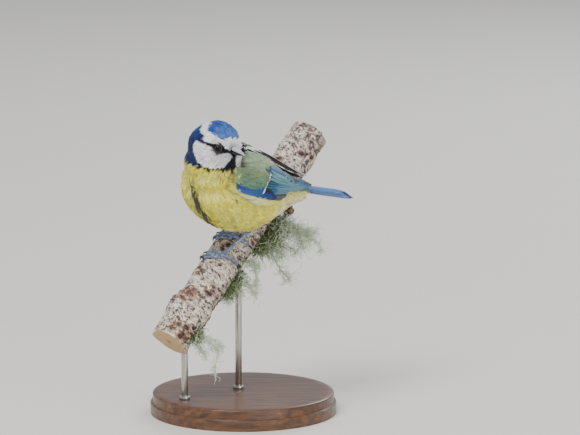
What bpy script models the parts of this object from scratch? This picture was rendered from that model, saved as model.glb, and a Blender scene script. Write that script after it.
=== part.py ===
"""A life-size blue tit, clinging to a short cut length of lichened branch on a plain display stand.

Metres, +Z up. The origin is the middle of the stand's underside. The bird's heading is towards -X and
-Y, and its head looks back over its left shoulder, towards +X and -Y.
"""

import math
import random

import bmesh
import bpy
from mathutils import Matrix, Vector

MM = 0.001
GAP = 0.3 * MM  # between nodes that touch
CREASE = math.radians(40)  # edges sharper than this stay crisp
SOLVER = "MANIFOLD"

# Where the bird is: the middle of its torso, neck and head
TORSO_AT = Vector((-2.9, -15.0, 110.0)) * MM
NECK_AT = Vector((-13.4, -28.5, 122.9)) * MM
HEAD_AT = Vector((-12.8, -30.5, 132.6)) * MM

# How it is turned, in degrees: heading from -X towards -Y, nose up, left side down
BODY_HEADING, BODY_PITCH, BODY_ROLL = 38.0, 16.0, 15.0
# The head's heading is from +X towards -Y; it looks down a little and leans to its left
HEAD_HEADING, HEAD_PITCH, HEAD_ROLL = 43.5, 7.5, 5.0

# Torso: place along the body, half width, height of back, depth of belly, height of middle, in mm
TORSO_STATIONS = (
    (28.5, 0.5, 0.5, 0.5, 1.0),
    (26.8, 7.5, 7.0, 8.0, 0.8),
    (21.5, 14.5, 13.5, 14.6, 0.5),
    (12.0, 18.8, 17.5, 18.8, 0.0),
    (0.0, 20.0, 18.0, 20.2, -0.5),
    (-12.0, 17.8, 15.5, 18.2, 0.5),
    (-22.0, 12.8, 11.5, 13.0, 2.0),
    (-30.0, 8.6, 7.6, 8.4, 4.0),
    (-37.0, 5.8, 4.4, 5.2, 5.8),
    (-45.0, 4.4, 2.6, 3.0, 7.2),
    (-60.0, 4.0, 2.2, 2.4, 8.2),
)
TORSO_END = -37.0  # the tail takes over here
NECK_RADIUS = 14.0

# Head: the same figures, along the line of sight
HEAD_STATIONS = (
    (-12.5, 0.5, 0.5, 0.5, -0.5),
    (-10.6, 6.6, 5.6, 6.6, -0.4),
    (-6.0, 10.8, 9.6, 11.0, -0.2),
    (0.0, 12.6, 12.0, 12.6, 0.0),
    (4.5, 12.3, 11.8, 11.4, -0.6),
    (8.0, 11.0, 10.5, 8.9, -1.5),
    (10.5, 9.2, 8.4, 6.6, -2.0),
    (12.3, 6.8, 6.0, 4.6, -2.2),
    (13.4, 3.8, 3.4, 2.6, -2.0),
    (13.8, 0.5, 0.5, 0.5, -1.8),
)
HEAD_CUT = -7.4  # height of the cut between head and neck, below the head's middle
NECK_CUT = -12.4  # and of the one between neck and torso

# Eye: radius, place forward, sideways and up in the head
EYE_RADIUS = 2.15
EYE_PLACE = (9.9, 7.6, 0.9)
LID_RADIUS, LID_THICKNESS, LID_STANDS = 1.95, 0.45, 1.15

# Bill: place of the root's middle, lengths, half width, heights above and below the mouth's line
BILL_ROOT = (12.6, 0.0, 0.3)
UPPER_BILL_LENGTH, LOWER_BILL_LENGTH = 7.3, 6.6
BILL_HALF_WIDTH, UPPER_BILL_HEIGHT, LOWER_BILL_HEIGHT = 2.1, 2.3, 1.5
BILL_DROOP = 3.0  # degrees below the line of sight
NOSTRIL_RADIUS = 0.38
BILL_GAP = 0.42 * MM

# Perch: a point on its axis beside the feet, its direction, its ends along it, and its radius
PERCH_AT = Vector((-5.4, 2.5, 77.8)) * MM
PERCH_DIRECTION = Vector((0.52, 0.49, 0.70)).normalized()
PERCH_LOW, PERCH_HIGH = -56.0, 72.0
PERCH_RADIUS = 8.8
FEET_LOW, FEET_HIGH = -18.0, 16.0  # smooth bark where the feet grip

THREAD_RADII = (0.9, 0.65, 0.5, 0.36, 0.12)  # of a lichen thread, from root to tip

# Stand: the turned disc's radius, height and edge, and the rods: place along the perch, and radius
BASE_RADIUS, BASE_HEIGHT, BASE_EDGE = 44.0, 10.0, 2.0
ROD_PLACES = (-42.0, 6.0)
ROD_RADIUS = 1.6

# Wing: the flight feathers' rows, worked out along the body and round it
WING_FRONT, WING_REAR = 16.5, -12.0
WING_LOW, WING_HIGH = 14.0, 62.0  # turns round the body, up from its side
WING_SHOULDER = 24.0  # the front upper corner is this many degrees lower, clear of the cheek
WING_UNDER, WING_OVER = 0.35, 1.9  # the arm's underside and top, above the torso's form
ROOM_TOP, ROOM_MARGIN = 5.0, 1.8  # the room round the arm, cut from the nodes beside it
WING_SEED = 11
TAIL_LENGTH = 27.5  # beyond the torso's end
TAIL_PAIRS = 6

# Legs, in the perch's own measure: place along it, and turn round it from the side that faces -Y
FEET = {
    "left": dict(along=-8.6, turn=11.0, ankle=(3.4, -12.0, 89.2), slant=-0.06),
    "right": dict(along=2.2, turn=16.0, ankle=(1.5, -6.0, 97.0), slant=-0.04),
}
TARSUS_RADIUS, TOE_RADIUS, CLAW_RADIUS = 0.85, 0.85, 0.55
# Toes: place beside the middle one, sweep round the perch in degrees, where the claw starts, thickness
TOES = (
    ("toe_2", -1.2, 66.0, 0.66, 0.9),
    ("toe_3", 0.0, 78.0, 0.70, 1.0),
    ("toe_4", 1.2, 68.0, 0.68, 0.85),
    ("toe_1", 0.3, -74.0, 0.60, 1.12),
)


def clear_scene():
    for found in list(bpy.data.objects):
        bpy.data.objects.remove(found)


def smooth_step(stations, place):
    """The stations' figures at a place, on a curve through them all (Catmull-Rom)."""
    rows = sorted(stations)
    places = [row[0] for row in rows]
    place = min(max(place, places[0]), places[-1])
    i = max(j for j in range(len(rows) - 1) if places[j] <= place)
    before, after = rows[max(i - 1, 0)], rows[min(i + 2, len(rows) - 1)]
    low, high = rows[i], rows[i + 1]
    span = high[0] - low[0]
    t = (place - low[0]) / span
    found = []
    for k in range(1, len(low)):
        slope_low = (high[k] - before[k]) / (high[0] - before[0]) * span
        slope_high = (after[k] - low[k]) / (after[0] - low[0]) * span
        a = 2 * t**3 - 3 * t**2 + 1
        b = t**3 - 2 * t**2 + t
        c = -2 * t**3 + 3 * t**2
        d = t**3 - t**2
        found.append(a * low[k] + b * slope_low + c * high[k] + d * slope_high)
    return found


def frame_of(forward, roll):
    """Axes forward, left and up as the columns of a matrix, rolled left side down by some degrees."""
    forward = forward.normalized()
    left = Vector((0, 0, 1)).cross(forward).normalized()
    up = forward.cross(left)
    turn = Matrix.Rotation(-math.radians(roll), 3, forward)
    left, up = turn @ left, turn @ up
    return Matrix((forward, left, up)).transposed()


def heading_vector(side, heading, pitch):
    """A direction from its heading, measured from +X or -X towards -Y, and its rise."""
    heading, pitch = math.radians(heading), math.radians(pitch)
    flat = math.cos(pitch)
    return Vector((side * math.cos(heading) * flat, -math.sin(heading) * flat, math.sin(pitch)))


BODY_FRAME = frame_of(heading_vector(-1, BODY_HEADING, BODY_PITCH), BODY_ROLL)
HEAD_FRAME = frame_of(heading_vector(1, HEAD_HEADING, -HEAD_PITCH), HEAD_ROLL)


def in_body(forward, left, up):
    """A point given in the body's own axes, in mm."""
    return TORSO_AT + BODY_FRAME @ (Vector((forward, left, up)) * MM)


def in_head(forward, left, up):
    """A point given in the head's own axes, in mm."""
    return HEAD_AT + HEAD_FRAME @ (Vector((forward, left, up)) * MM)


def material(name, colour, roughness, metallic=0.0):
    made = bpy.data.materials.get(name) or bpy.data.materials.new(name)
    made.use_nodes = True
    shader = made.node_tree.nodes["Principled BSDF"]
    shader.inputs["Base Color"].default_value = (*colour, 1.0)
    shader.inputs["Roughness"].default_value = roughness
    shader.inputs["Metallic"].default_value = metallic
    return made


def add_object(name, points, faces, finish=None):
    """A mesh object from points and faces, with its faces pointing out."""
    mesh = bpy.data.meshes.new(name)
    mesh.from_pydata([tuple(p) for p in points], [], faces)
    made = bpy.data.objects.new(name, mesh)
    bpy.context.scene.collection.objects.link(made)
    face_out(made)
    if finish:
        mesh.materials.append(finish)
    return made


def face_out(obj):
    bm = bmesh.new()
    bm.from_mesh(obj.data)
    bmesh.ops.recalc_face_normals(bm, faces=bm.faces)
    if bm.calc_volume(signed=True) < 0:
        bmesh.ops.reverse_faces(bm, faces=bm.faces)
    bm.to_mesh(obj.data)
    bm.free()


def tube(name, rings, finish=None):
    """A closed skin over rings of points, with a flat fan at each end."""
    count = len(rings[0])
    points = [p for ring in rings for p in ring]
    faces = []
    for i in range(len(rings) - 1):
        for j in range(count):
            k = (j + 1) % count
            faces.append((i * count + j, i * count + k, (i + 1) * count + k, (i + 1) * count + j))
    for ring_start in (0, (len(rings) - 1) * count):
        centre = sum((points[ring_start + j] for j in range(count)), Vector()) / count
        points.append(centre)
        for j in range(count):
            faces.append((len(points) - 1, ring_start + j, ring_start + (j + 1) % count))
    return add_object(name, points, faces, finish)


def along_path(points, radii, sides):
    """Rings round a path: each point's ring stands square to the path there."""
    rings = []
    reference = Vector((0.3, 0.2, 1.0)).normalized()
    for i, point in enumerate(points):
        along = (points[min(i + 1, len(points) - 1)] - points[max(i - 1, 0)]).normalized()
        first = along.cross(reference).normalized()
        second = along.cross(first)
        turns = [2 * math.pi * j / sides for j in range(sides)]
        rings.append([point + (first * math.cos(t) + second * math.sin(t)) * radii[i] for t in turns])
    return rings


def station_rings(stations, places, sides, to_world):
    """Rings of an egg-shaped body: wide at the middle, with its own height above and below."""
    rings = []
    for place in places:
        half_width, up, down, middle = smooth_step(stations, place)
        ring = []
        for j in range(sides):
            turn = 2 * math.pi * j / sides
            side, rise = math.cos(turn), math.sin(turn)
            height = up if rise > 0 else down
            ring.append(to_world(place, half_width * side, middle + height * rise))
        rings.append(ring)
    return rings


def set_modifier(obj, kind, **settings):
    made = obj.modifiers.new(kind.title(), kind)
    for key, value in settings.items():
        setattr(made, key, value)
    return made


def apply_modifiers(obj):
    """The evaluated mesh takes the place of the object's own."""
    graph = bpy.context.evaluated_depsgraph_get()
    mesh = bpy.data.meshes.new_from_object(obj.evaluated_get(graph))
    obj.modifiers.clear()
    obj.data = mesh
    return obj


def joined(name, objects, finish):
    """One Boolean union of closed objects, which it removes."""
    gathered = bpy.data.collections.new(name + "_pieces")
    bpy.context.scene.collection.children.link(gathered)
    for obj in objects[1:]:
        bpy.context.scene.collection.objects.unlink(obj)
        gathered.objects.link(obj)
    first = objects[0]
    union = set_modifier(first, "BOOLEAN", operation="UNION", operand_type="COLLECTION", solver=SOLVER)
    union.collection = gathered
    apply_modifiers(first)
    for obj in list(gathered.objects):
        bpy.data.objects.remove(obj)
    bpy.data.collections.remove(gathered)
    first.name = name
    first.data.materials.clear()
    first.data.materials.append(finish)
    return first


def cut_away(obj, cutter):
    """Takes the cutter's shape out of the object, and removes the cutter."""
    cutter.hide_render = True
    cutter.display_type = "WIRE"
    set_modifier(obj, "BOOLEAN", operation="DIFFERENCE", object=cutter, solver=SOLVER)
    apply_modifiers(obj)
    bpy.data.objects.remove(cutter)
    return obj


def grown(obj, by):
    """A copy whose surface stands off by a small distance."""
    made = obj.copy()
    made.data = obj.data.copy()
    bpy.context.scene.collection.objects.link(made)
    bm = bmesh.new()
    bm.from_mesh(made.data)
    bm.normal_update()
    moves = [(v, v.normal * by) for v in bm.verts]
    for vertex, move in moves:
        vertex.co += move
    bm.to_mesh(made.data)
    bm.free()
    return made


def keep_largest(obj):
    """Keeps the largest closed surface, counted by its faces, in triangles."""
    bm = bmesh.new()
    bm.from_mesh(obj.data)
    left, shells = set(bm.faces), []
    while left:
        stack, shell = [left.pop()], []
        while stack:
            face = stack.pop()
            shell.append(face)
            for edge in face.edges:
                for other in edge.link_faces:
                    if other in left:
                        left.discard(other)
                        stack.append(other)
        shells.append(shell)
    shells.sort(key=len)
    for shell in shells[:-1]:
        bmesh.ops.delete(bm, geom=shell, context="FACES")
    bmesh.ops.triangulate(bm, faces=bm.faces, ngon_method="EAR_CLIP")
    bm.to_mesh(obj.data)
    bm.free()
    return obj


def part_of(name, whole, planes, finish):
    """The stretch of a closed mesh behind each plane (point, direction out), its cuts filled flat."""
    made = whole.copy()
    made.data = whole.data.copy()
    made.name = name
    bpy.context.scene.collection.objects.link(made)
    bm = bmesh.new()
    bm.from_mesh(made.data)
    for point, out in planes:
        cut = bmesh.ops.bisect_plane(
            bm, geom=bm.verts[:] + bm.edges[:] + bm.faces[:], plane_co=point, plane_no=out, clear_outer=True
        )
        edges = [e for e in cut["geom_cut"] if isinstance(e, bmesh.types.BMEdge)]
        bmesh.ops.contextual_create(bm, geom=edges)
    bm.to_mesh(made.data)
    bm.free()
    face_out(made)
    made.data.materials.clear()
    made.data.materials.append(finish)
    return made


def spaced(low, high, count, ease=0.0):
    """Places from low to high, closer together at the ends where ease is above zero."""
    steps = [i / (count - 1) for i in range(count)]
    return [low + (high - low) * (s * (1 - ease) + ease * (1 - math.cos(math.pi * s)) / 2) for s in steps]


# Perch


def perch_axes():
    """The side of the perch that faces -Y and a little up, and the side up and left of that."""
    towards = Vector((0, -0.985, 0.174))
    facing = (towards - PERCH_DIRECTION * towards.dot(PERCH_DIRECTION)).normalized()
    return facing, -PERCH_DIRECTION.cross(facing)


PERCH_FACING, PERCH_LEFT = perch_axes()


def on_perch(along, turn, radius):
    """A point beside the perch: place along its axis, turn in degrees round it, distance from it."""
    turn = math.radians(turn)
    out = PERCH_FACING * math.cos(turn) + PERCH_LEFT * math.sin(turn)
    return PERCH_AT + (PERCH_DIRECTION * along + out * radius) * MM


def bark_radius(along, turn):
    """The perch's radius: ridges and knots, which die away where the feet grip."""
    rough = 0.35 * math.sin(3 * turn + 0.21 * along) + 0.3 * math.sin(5 * turn - 0.4 * along)
    rough += 0.35 * math.sin(0.33 * along + 1.3)
    knot = 1.5 * math.exp(-(((along + 39) / 4.5) ** 2)) * (0.6 + 0.4 * math.cos(turn - 2.2))
    knot += 1.3 * math.exp(-(((along - 45) / 5.0) ** 2)) * (0.6 + 0.4 * math.cos(turn + 1.0))
    away = min(abs(along - FEET_LOW), abs(along - FEET_HIGH)) / 6.0
    calm = 0.0 if FEET_LOW < along < FEET_HIGH else min(1.0, away)
    return PERCH_RADIUS + (rough + knot) * calm


def perch():
    finish = material("bark", (0.55, 0.50, 0.43), 0.85)
    sides, rings = 16, []
    for along in spaced(PERCH_LOW, PERCH_HIGH, 29):
        turns = [360 * j / sides for j in range(sides)]
        rings.append([on_perch(along, t, bark_radius(along, math.radians(t))) for t in turns])
    stem = tube("perch", rings, finish)
    root, tip = on_perch(36.0, -72.0, 4.0), on_perch(30.0, -78.0, 14.0)
    stub = tube("stub", along_path([root, root.lerp(tip, 0.6), tip], [3.6 * MM, 3.0 * MM, 2.4 * MM], 9))
    return keep_largest(joined("perch", [stem, stub], finish))


def lichen_tuft(name, along, turn, spread, count, reach, droop, seed):
    """Crooked threads from a crust on the perch: short ones in a tangle, and some that run out long."""
    finish = material("lichen", (0.45, 0.52, 0.32), 0.9)
    draw = random.Random(seed)
    near = [(along + spread * i / 3, turn + 8 * j) for i in range(-3, 4) for j in range(-2, 3)]
    surface = max(bark_radius(a, math.radians(t)) for a, t in near) + 0.5
    crust = []
    for height, wide in ((0.0, 1.0), (1.6, 0.9), (3.0, 0.4)):
        ring = []
        for j in range(8):
            a = 2 * math.pi * j / 8 + height * 0.1
            place, aside = along + math.cos(a) * spread * wide, turn + math.sin(a) * 15 * wide
            ring.append(on_perch(place, aside, surface + height * draw.uniform(0.6, 1.4)))
        crust.append(ring)
    pieces = [tube(name + "_crust", crust)]
    out = (on_perch(along, turn, 1.0) - on_perch(along, turn, 0.0)).normalized()
    for i in range(count):
        place = (2 * (i + 0.5) / count - 1) * draw.uniform(0.8, 1.0)
        start = on_perch(along + spread * 0.8 * place, turn + draw.uniform(-8, 8), surface + 0.2)
        aside = PERCH_DIRECTION * (0.6 * place + draw.uniform(-0.4, 0.4))
        way = (out + aside + Vector((0, draw.uniform(-0.6, 0.6), 0))).normalized()
        step = reach * (draw.uniform(0.9, 1.1) if i % 3 == 0 else draw.uniform(0.45, 0.65)) / 4
        path = []
        for _ in range(5):
            path.append(start.copy())
            start = start + way * step * MM
            bend = Vector((draw.uniform(-0.6, 0.6), draw.uniform(-0.5, 0.5), draw.uniform(-0.4, 0.4) - droop))
            way = (way + bend).normalized()
        pieces.append(tube(name + "_thread", along_path(path, [r * MM for r in THREAD_RADII], 3)))
    return keep_largest(joined(name, pieces, finish))


def lichens():
    lichen_tuft("lichen_upper", 17.0, -94.0, 10.5, 26, 23.0, 0.14, 3)
    lichen_tuft("lichen_middle", -14.0, -96.0, 6.5, 15, 14.0, 0.3, 5)
    lichen_tuft("lichen_lower", -45.0, -84.0, 3.5, 7, 16.0, 0.4, 8)


# Stand


def stand(perch_node):
    wood = material("plinth", (0.23, 0.15, 0.09), 0.45)
    metal = material("rod", (0.62, 0.6, 0.56), 0.3, 1.0)
    rings = []
    for z, radius in (
        (0.0, BASE_RADIUS),
        (BASE_HEIGHT * 0.45, BASE_RADIUS),
        (BASE_HEIGHT * 0.55, BASE_RADIUS - BASE_EDGE * 0.5),
        (BASE_HEIGHT - BASE_EDGE * 0.4, BASE_RADIUS - BASE_EDGE * 0.9),
        (BASE_HEIGHT, BASE_RADIUS - BASE_EDGE * 1.6),
    ):
        turns = [2 * math.pi * j / 48 for j in range(48)]
        rings.append([Vector((radius * math.cos(t), radius * math.sin(t), z)) * MM for t in turns])
    tube("stand_base", rings, wood)
    for number, place in enumerate(ROD_PLACES, 1):
        axis = on_perch(place, 0, 0)
        foot = Vector((axis.x, axis.y, BASE_HEIGHT * MM + GAP))
        top = Vector((axis.x, axis.y, axis.z))
        rod = tube(f"stand_rod_{number}", along_path([foot, top], [ROD_RADIUS * MM] * 2, 16), metal)
        cut_away(rod, grown(perch_node, GAP))
        keep_largest(rod)


# Bird: torso, neck and head are modelled whole and parted by thin cuts


def whole_body():
    """The plumage's outline over torso, neck and head, melted together."""
    finish = material("yellow_plumage", (0.72, 0.68, 0.16), 0.8)
    places = spaced(TORSO_STATIONS[0][0], -40.0, 24, 0.35)
    torso = tube("torso_form", station_rings(TORSO_STATIONS, places, 30, in_body))
    places = spaced(HEAD_STATIONS[0][0], HEAD_STATIONS[-1][0], 18, 0.8)
    head = tube("head_form", station_rings(HEAD_STATIONS, places, 26, in_head))
    neck = ball("neck_form", NECK_AT, NECK_RADIUS * MM, 4)
    thighs = []
    for foot in FEET.values():
        ankle = Vector(foot["ankle"]) * MM
        hip = ankle.lerp(TORSO_AT, 0.5)
        path = [hip, hip.lerp(ankle, 0.6), hip.lerp(ankle, 0.95)]
        thighs.append(tube("thigh_form", along_path(path, [5.0 * MM, 4.0 * MM, 1.9 * MM], 12)))
    whole = joined("body_form", [torso, neck, head, *thighs], finish)
    set_modifier(whole, "REMESH", mode="VOXEL", voxel_size=1.2 * MM)
    set_modifier(whole, "SMOOTH", factor=0.5, iterations=5)
    apply_modifiers(whole)
    set_modifier(whole, "DECIMATE", ratio=0.15)
    apply_modifiers(whole)
    face_out(whole)
    return whole


def head_details(head):
    """Sockets for the eyes with a ring of lid round each, and one for the bill."""
    skin = head.data.materials[0]
    forward, sideways, up = EYE_PLACE
    lids = []
    for side in (1, -1):
        out = (HEAD_FRAME @ Vector((0.6, 0.78 * side, 0.15))).normalized()
        at = in_head(forward, side * sideways, up) + out * LID_STANDS * MM
        lids.append(ring_round(at, out, LID_RADIUS * MM, LID_THICKNESS * MM))
    joined("head", [head, *lids], skin)
    for side in (1, -1):
        socket = ball("socket", in_head(forward, side * sideways, up), (EYE_RADIUS + 0.3) * MM, 2)
        cut_away(head, socket)
    return head


def ball(name, at, radius, subdivisions, finish=None):
    bm = bmesh.new()
    bmesh.ops.create_icosphere(bm, subdivisions=subdivisions, radius=radius)
    bmesh.ops.translate(bm, verts=bm.verts, vec=at)
    mesh = bpy.data.meshes.new(name)
    bm.to_mesh(mesh)
    bm.free()
    made = bpy.data.objects.new(name, mesh)
    bpy.context.scene.collection.objects.link(made)
    if finish:
        mesh.materials.append(finish)
    return made


def ring_round(at, axis, radius, thickness):
    """A closed ring, for a lid."""
    first = axis.orthogonal().normalized()
    second = axis.cross(first)
    points, faces = [], []
    around, across = 14, 6
    for i in range(around):
        a = 2 * math.pi * i / around
        out = first * math.cos(a) + second * math.sin(a)
        for j in range(across):
            b = 2 * math.pi * j / across
            points.append(at + out * (radius + thickness * math.cos(b)) + axis * thickness * math.sin(b))
    for i in range(around):
        for j in range(across):
            k, m = (i + 1) % around, (j + 1) % across
            faces.append((i * across + j, k * across + j, k * across + m, i * across + m))
    return add_object("lid", points, faces)


def bill_half(name, length, height, upward, finish):
    """One half of the bill: a half cone, flat along the mouth, that curves to its tip."""
    droop = math.radians(BILL_DROOP)
    root = Vector(BILL_ROOT)
    rings, steps, sides = [], 7, 10
    for i in range(steps):
        share = i / (steps - 1)
        taper = (1 - share**1.55) * 0.97 + 0.03
        curve = 0.35 * share**2
        ring = []
        for j in range(sides):
            turn = math.pi * j / (sides - 1)
            side = BILL_HALF_WIDTH * math.cos(turn) * taper
            rise = upward * (height * math.sin(turn) ** 0.8 * taper + 0.15)
            forward = length * share
            x = root.x + forward * math.cos(droop) + rise * math.sin(droop)
            z = root.z - forward * math.sin(droop) + rise * math.cos(droop) - curve
            ring.append(in_head(x, side, z))
        rings.append(ring)
    return tube(name, rings, finish)


def bill():
    horn = material("bill", (0.12, 0.13, 0.15), 0.35)
    upper = bill_half("bill_upper", UPPER_BILL_LENGTH, UPPER_BILL_HEIGHT, 1, horn)
    lower = bill_half("bill_lower", LOWER_BILL_LENGTH, LOWER_BILL_HEIGHT, -1, horn)
    for side in (1, -1):
        at = in_head(BILL_ROOT[0] + 2.5, side * 1.75, BILL_ROOT[2] + 1.15)
        cut_away(upper, ball("nostril", at, NOSTRIL_RADIUS * MM, 2))
    return keep_largest(upper), keep_largest(lower)


# Wing and tail: overlapping vanes over the torso's own form


def wing_point(side, along, turn, lift):
    """A point on the folded wing: place along the body, turn from its side up over its back, height."""
    half_width, up, _, middle = smooth_step(TORSO_STATIONS, along)
    turn = math.radians(turn)
    left = side * (half_width + lift) * math.cos(turn)
    rise = middle + (up + lift) * math.sin(turn)
    return in_body(along, left, rise)


def vane(name, side, root, tip, width, top_lift, depth):
    """One feather as a slab: (place, turn) of its root and tip, its width round the body, its depth."""
    top, under = [], []
    for i in range(VANE_STEPS + 1):
        share = i / VANE_STEPS
        along = root[0] + (tip[0] - root[0]) * share
        turn = root[1] + (tip[1] - root[1]) * share
        swell = math.sin(math.pi * min(0.5, 0.16 + share))
        end = max(0.0, (share - 0.75) / 0.25)
        half = width / 2 * swell * math.sqrt(max(0.02, 1 - end**2))
        half_width, up, _, _ = smooth_step(TORSO_STATIONS, along)
        spread = math.degrees(half / max(3.0, (half_width + up) / 2))
        for way in (-1, 1):
            lift = top_lift - way * VANE_TILT / 2
            top.append(wing_point(side, along, turn + way * spread, lift))
            under.append(wing_point(side, along, turn + way * spread, lift - depth))
    return slab(name, top, under)


WING_ROWS = (
    # name, count, roots from and to, tips from and to, width, height, depth: each row starts at the lowest
    ("primary", 6, (8, 15), (-2, 22), (-41, 20), (-30, 24), 3.6, 1.85, 0.6),
    ("secondary", 5, (2, 20), (-6, 42), (-27, 24), (-25, 44), 4.8, 2.15, 0.85),
    ("tertial", 3, (-2, 44), (-6, 58), (-22, 50), (-15, 60), 6.0, 2.5, 1.15),
    ("primary_covert", 3, (13, 15), (8, 22), (-9, 17), (-5, 22), 3.4, 2.2, 0.9),
    ("greater_covert", 6, (11, 20), (3, 54), (-4, 20), (-3, 56), 4.8, 2.6, 1.25),
    ("median_covert", 5, (15.5, 20), (8, 46), (4, 20), (0, 52), 5.0, 3.0, 1.6),
)
VANE_TILT = 0.5  # a vane's lower edge stands this much above its upper edge
VANE_STEPS = 4


def wing_plate(name, side, low, high, margin=0.0):
    """A curved plate over the torso's side: the folded arm, or with a margin the room it lies in."""
    rows, shares = spaced(WING_FRONT, WING_REAR, 8), spaced(0, 1, 6)
    if margin:
        ease = math.degrees(margin / 18) / (WING_HIGH - WING_LOW)
        rows = [rows[0] + margin, *rows, rows[-1] - margin]
        shares = [-ease, *shares, 1 + ease]
    down, across = len(rows), len(shares)
    points = []
    for lift in (low, high):
        for i, along in enumerate(rows):
            high_turn = WING_HIGH - WING_SHOULDER * max(0.0, min(1.0, (along - 3) / (WING_FRONT - 3)))
            for j, share in enumerate(shares):
                turn = WING_LOW + (high_turn - WING_LOW) * share
                edge, end = abs(2 * j / (across - 1) - 1), abs(2 * i / (down - 1) - 1)
                sink = 0.0 if margin or lift == low else 0.6 * max(edge, end) ** 3
                points.append(wing_point(side, along, turn, lift - sink))
    sheet = down * across
    faces = []
    for i in range(down - 1):
        for j in range(across - 1):
            a, b = i * across + j, (i + 1) * across + j
            faces += [(a, a + 1, b + 1), (a, b + 1, b)]
            faces += [(sheet + a, sheet + b + 1, sheet + a + 1), (sheet + a, sheet + b, sheet + b + 1)]
    for i in range(down - 1):
        for j in (0, across - 1):
            a, b = i * across + j, (i + 1) * across + j
            faces.append((a, b, sheet + b, sheet + a))
    for i in (0, (down - 1) * across):
        for j in range(across - 1):
            a, b = i + j, i + j + 1
            faces.append((a, b, sheet + b, sheet + a))
    return add_object(name, points, faces)


def wing(name, side):
    finish = material("wing_plumage", (0.12, 0.30, 0.42), 0.6)
    draw = random.Random(WING_SEED + side)
    pieces = [wing_plate("arm", side, WING_UNDER, WING_OVER)]
    for label, count, root_low, root_high, tip_low, tip_high, width, height, depth in WING_ROWS:
        for i in range(count):
            share = i / (count - 1)
            root = [a + (b - a) * share + draw.uniform(-0.4, 0.4) for a, b in zip(root_low, root_high)]
            tip = [a + (b - a) * share + draw.uniform(-0.5, 0.5) for a, b in zip(tip_low, tip_high)]
            wide = width * draw.uniform(0.96, 1.04)
            high = height + draw.uniform(-0.04, 0.04)
            pieces.append(vane(f"{label}_{i}", side, root, tip, wide, high, depth))
    return keep_largest(joined(name, pieces, finish))


def tail():
    """Six pairs of feathers, the middle pair on top, rooted in one short core under the coverts."""
    finish = material("tail_plumage", (0.13, 0.30, 0.50), 0.6)
    core = station_rings(TORSO_STATIONS, spaced(TORSO_END - 0.3, -46.0, 5), 14, in_body)
    pieces = [tube("tail_core", core)]
    root_at = TORSO_END - 1.5
    for pair in range(TAIL_PAIRS):
        for side in (1, -1):
            layer = 1.6 - 0.42 * pair
            spread = math.radians(0.4 + 0.55 * pair) * side
            length = TAIL_LENGTH - 0.95 * (TAIL_PAIRS - 1 - pair)
            offset = side * (0.3 + 0.22 * pair)
            steps, half = 4, 2.3
            top, under = [], []
            for i in range(steps + 1):
                share = i / steps
                out = offset + math.tan(spread) * length * share
                end = max(0.0, (share - 0.86) / 0.14)
                wide = half * math.sqrt(max(0.03, 1 - end**2)) * (0.75 + 0.25 * min(1, share * 3))
                middle = 6.4 + 2.2 * share + layer - 0.35 * share * (layer - 0.5)
                for way in (-1, 1):
                    dip = -0.28 * (way * side + 1) * 0.5
                    top.append(in_body(root_at - length * share, out + way * wide, middle + dip + 0.25))
                    under.append(in_body(root_at - length * share, out + way * wide, middle + dip - 0.25))
            pieces.append(slab(f"rectrix_{pair}_{side}", top, under))
    return keep_largest(joined("tail", pieces, finish))


def slab(name, top, under):
    """A closed strip from its upper and lower edge points, two to a row."""
    count = len(top)
    faces = []
    for i in range(0, count - 2, 2):
        faces += [(i, i + 1, i + 2), (i + 1, i + 3, i + 2)]
        faces += [(count + i, count + i + 2, count + i + 1), (count + i + 1, count + i + 2, count + i + 3)]
        faces += [(i, i + 2, count + i + 2), (i, count + i + 2, count + i)]
        faces += [(i + 1, count + i + 3, i + 3), (i + 1, count + i + 1, count + i + 3)]
    faces += [(0, count, count + 1), (0, count + 1, 1)]
    last = count - 2
    faces += [(last, count + last + 1, count + last), (last, last + 1, count + last + 1)]
    return add_object(name, top + under, faces)


# Legs and feet


def toe(name, start, end, claw_from, radius):
    """A toe that wraps the perch from one (place, turn) to another, knuckled, and runs out in a claw."""
    path, radii = [], []
    steps = 11
    for i in range(steps):
        share = i / (steps - 1)
        claw = max(0.0, (share - claw_from) / (1 - claw_from))
        if claw > 0:
            thick = CLAW_RADIUS * (1 - 0.8 * claw)
        else:
            thick = radius * (1 - 0.18 * share) * (1 + 0.1 * math.cos(share * 22))
        height = PERCH_RADIUS + 0.35 + thick + 1.0 * math.sin(math.pi * claw)
        along = start[0] + (end[0] - start[0]) * share
        turn = start[1] + (end[1] - start[1]) * share
        path.append(on_perch(along, turn, height))
        radii.append(thick * MM)
    return tube(name, along_path(path, radii, 8))


def foot_and_leg(side, place):
    scaled = material("leg", (0.20, 0.25, 0.33), 0.5)
    along, turn, slant = place["along"], place["turn"], place["slant"]
    toes = []
    for label, beside, sweep, claw_from, thick in TOES:
        end = (along + 1.6 * beside + slant * max(sweep, -20.0), turn + sweep)
        toes.append(toe(label, (along + beside, turn), end, claw_from, TOE_RADIUS * thick))
    sole = ball("sole", on_perch(along, turn, PERCH_RADIUS + 0.35 + 1.15), 1.15 * MM, 2)
    ankle = Vector(place["ankle"]) * MM
    heel = on_perch(along, turn, PERCH_RADIUS + 1.9)
    toward = (ankle - heel).normalized()
    path = [heel - toward * 0.3 * MM, heel.lerp(ankle, 0.25), heel.lerp(ankle, 0.75), ankle]
    radii = [1.15 * MM, TARSUS_RADIUS * 0.9 * MM, TARSUS_RADIUS * MM, 1.25 * MM]
    shank = tube("shank", along_path(path, radii, 10))
    return joined(f"leg_{side}", [shank, sole, *toes], scaled)


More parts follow.
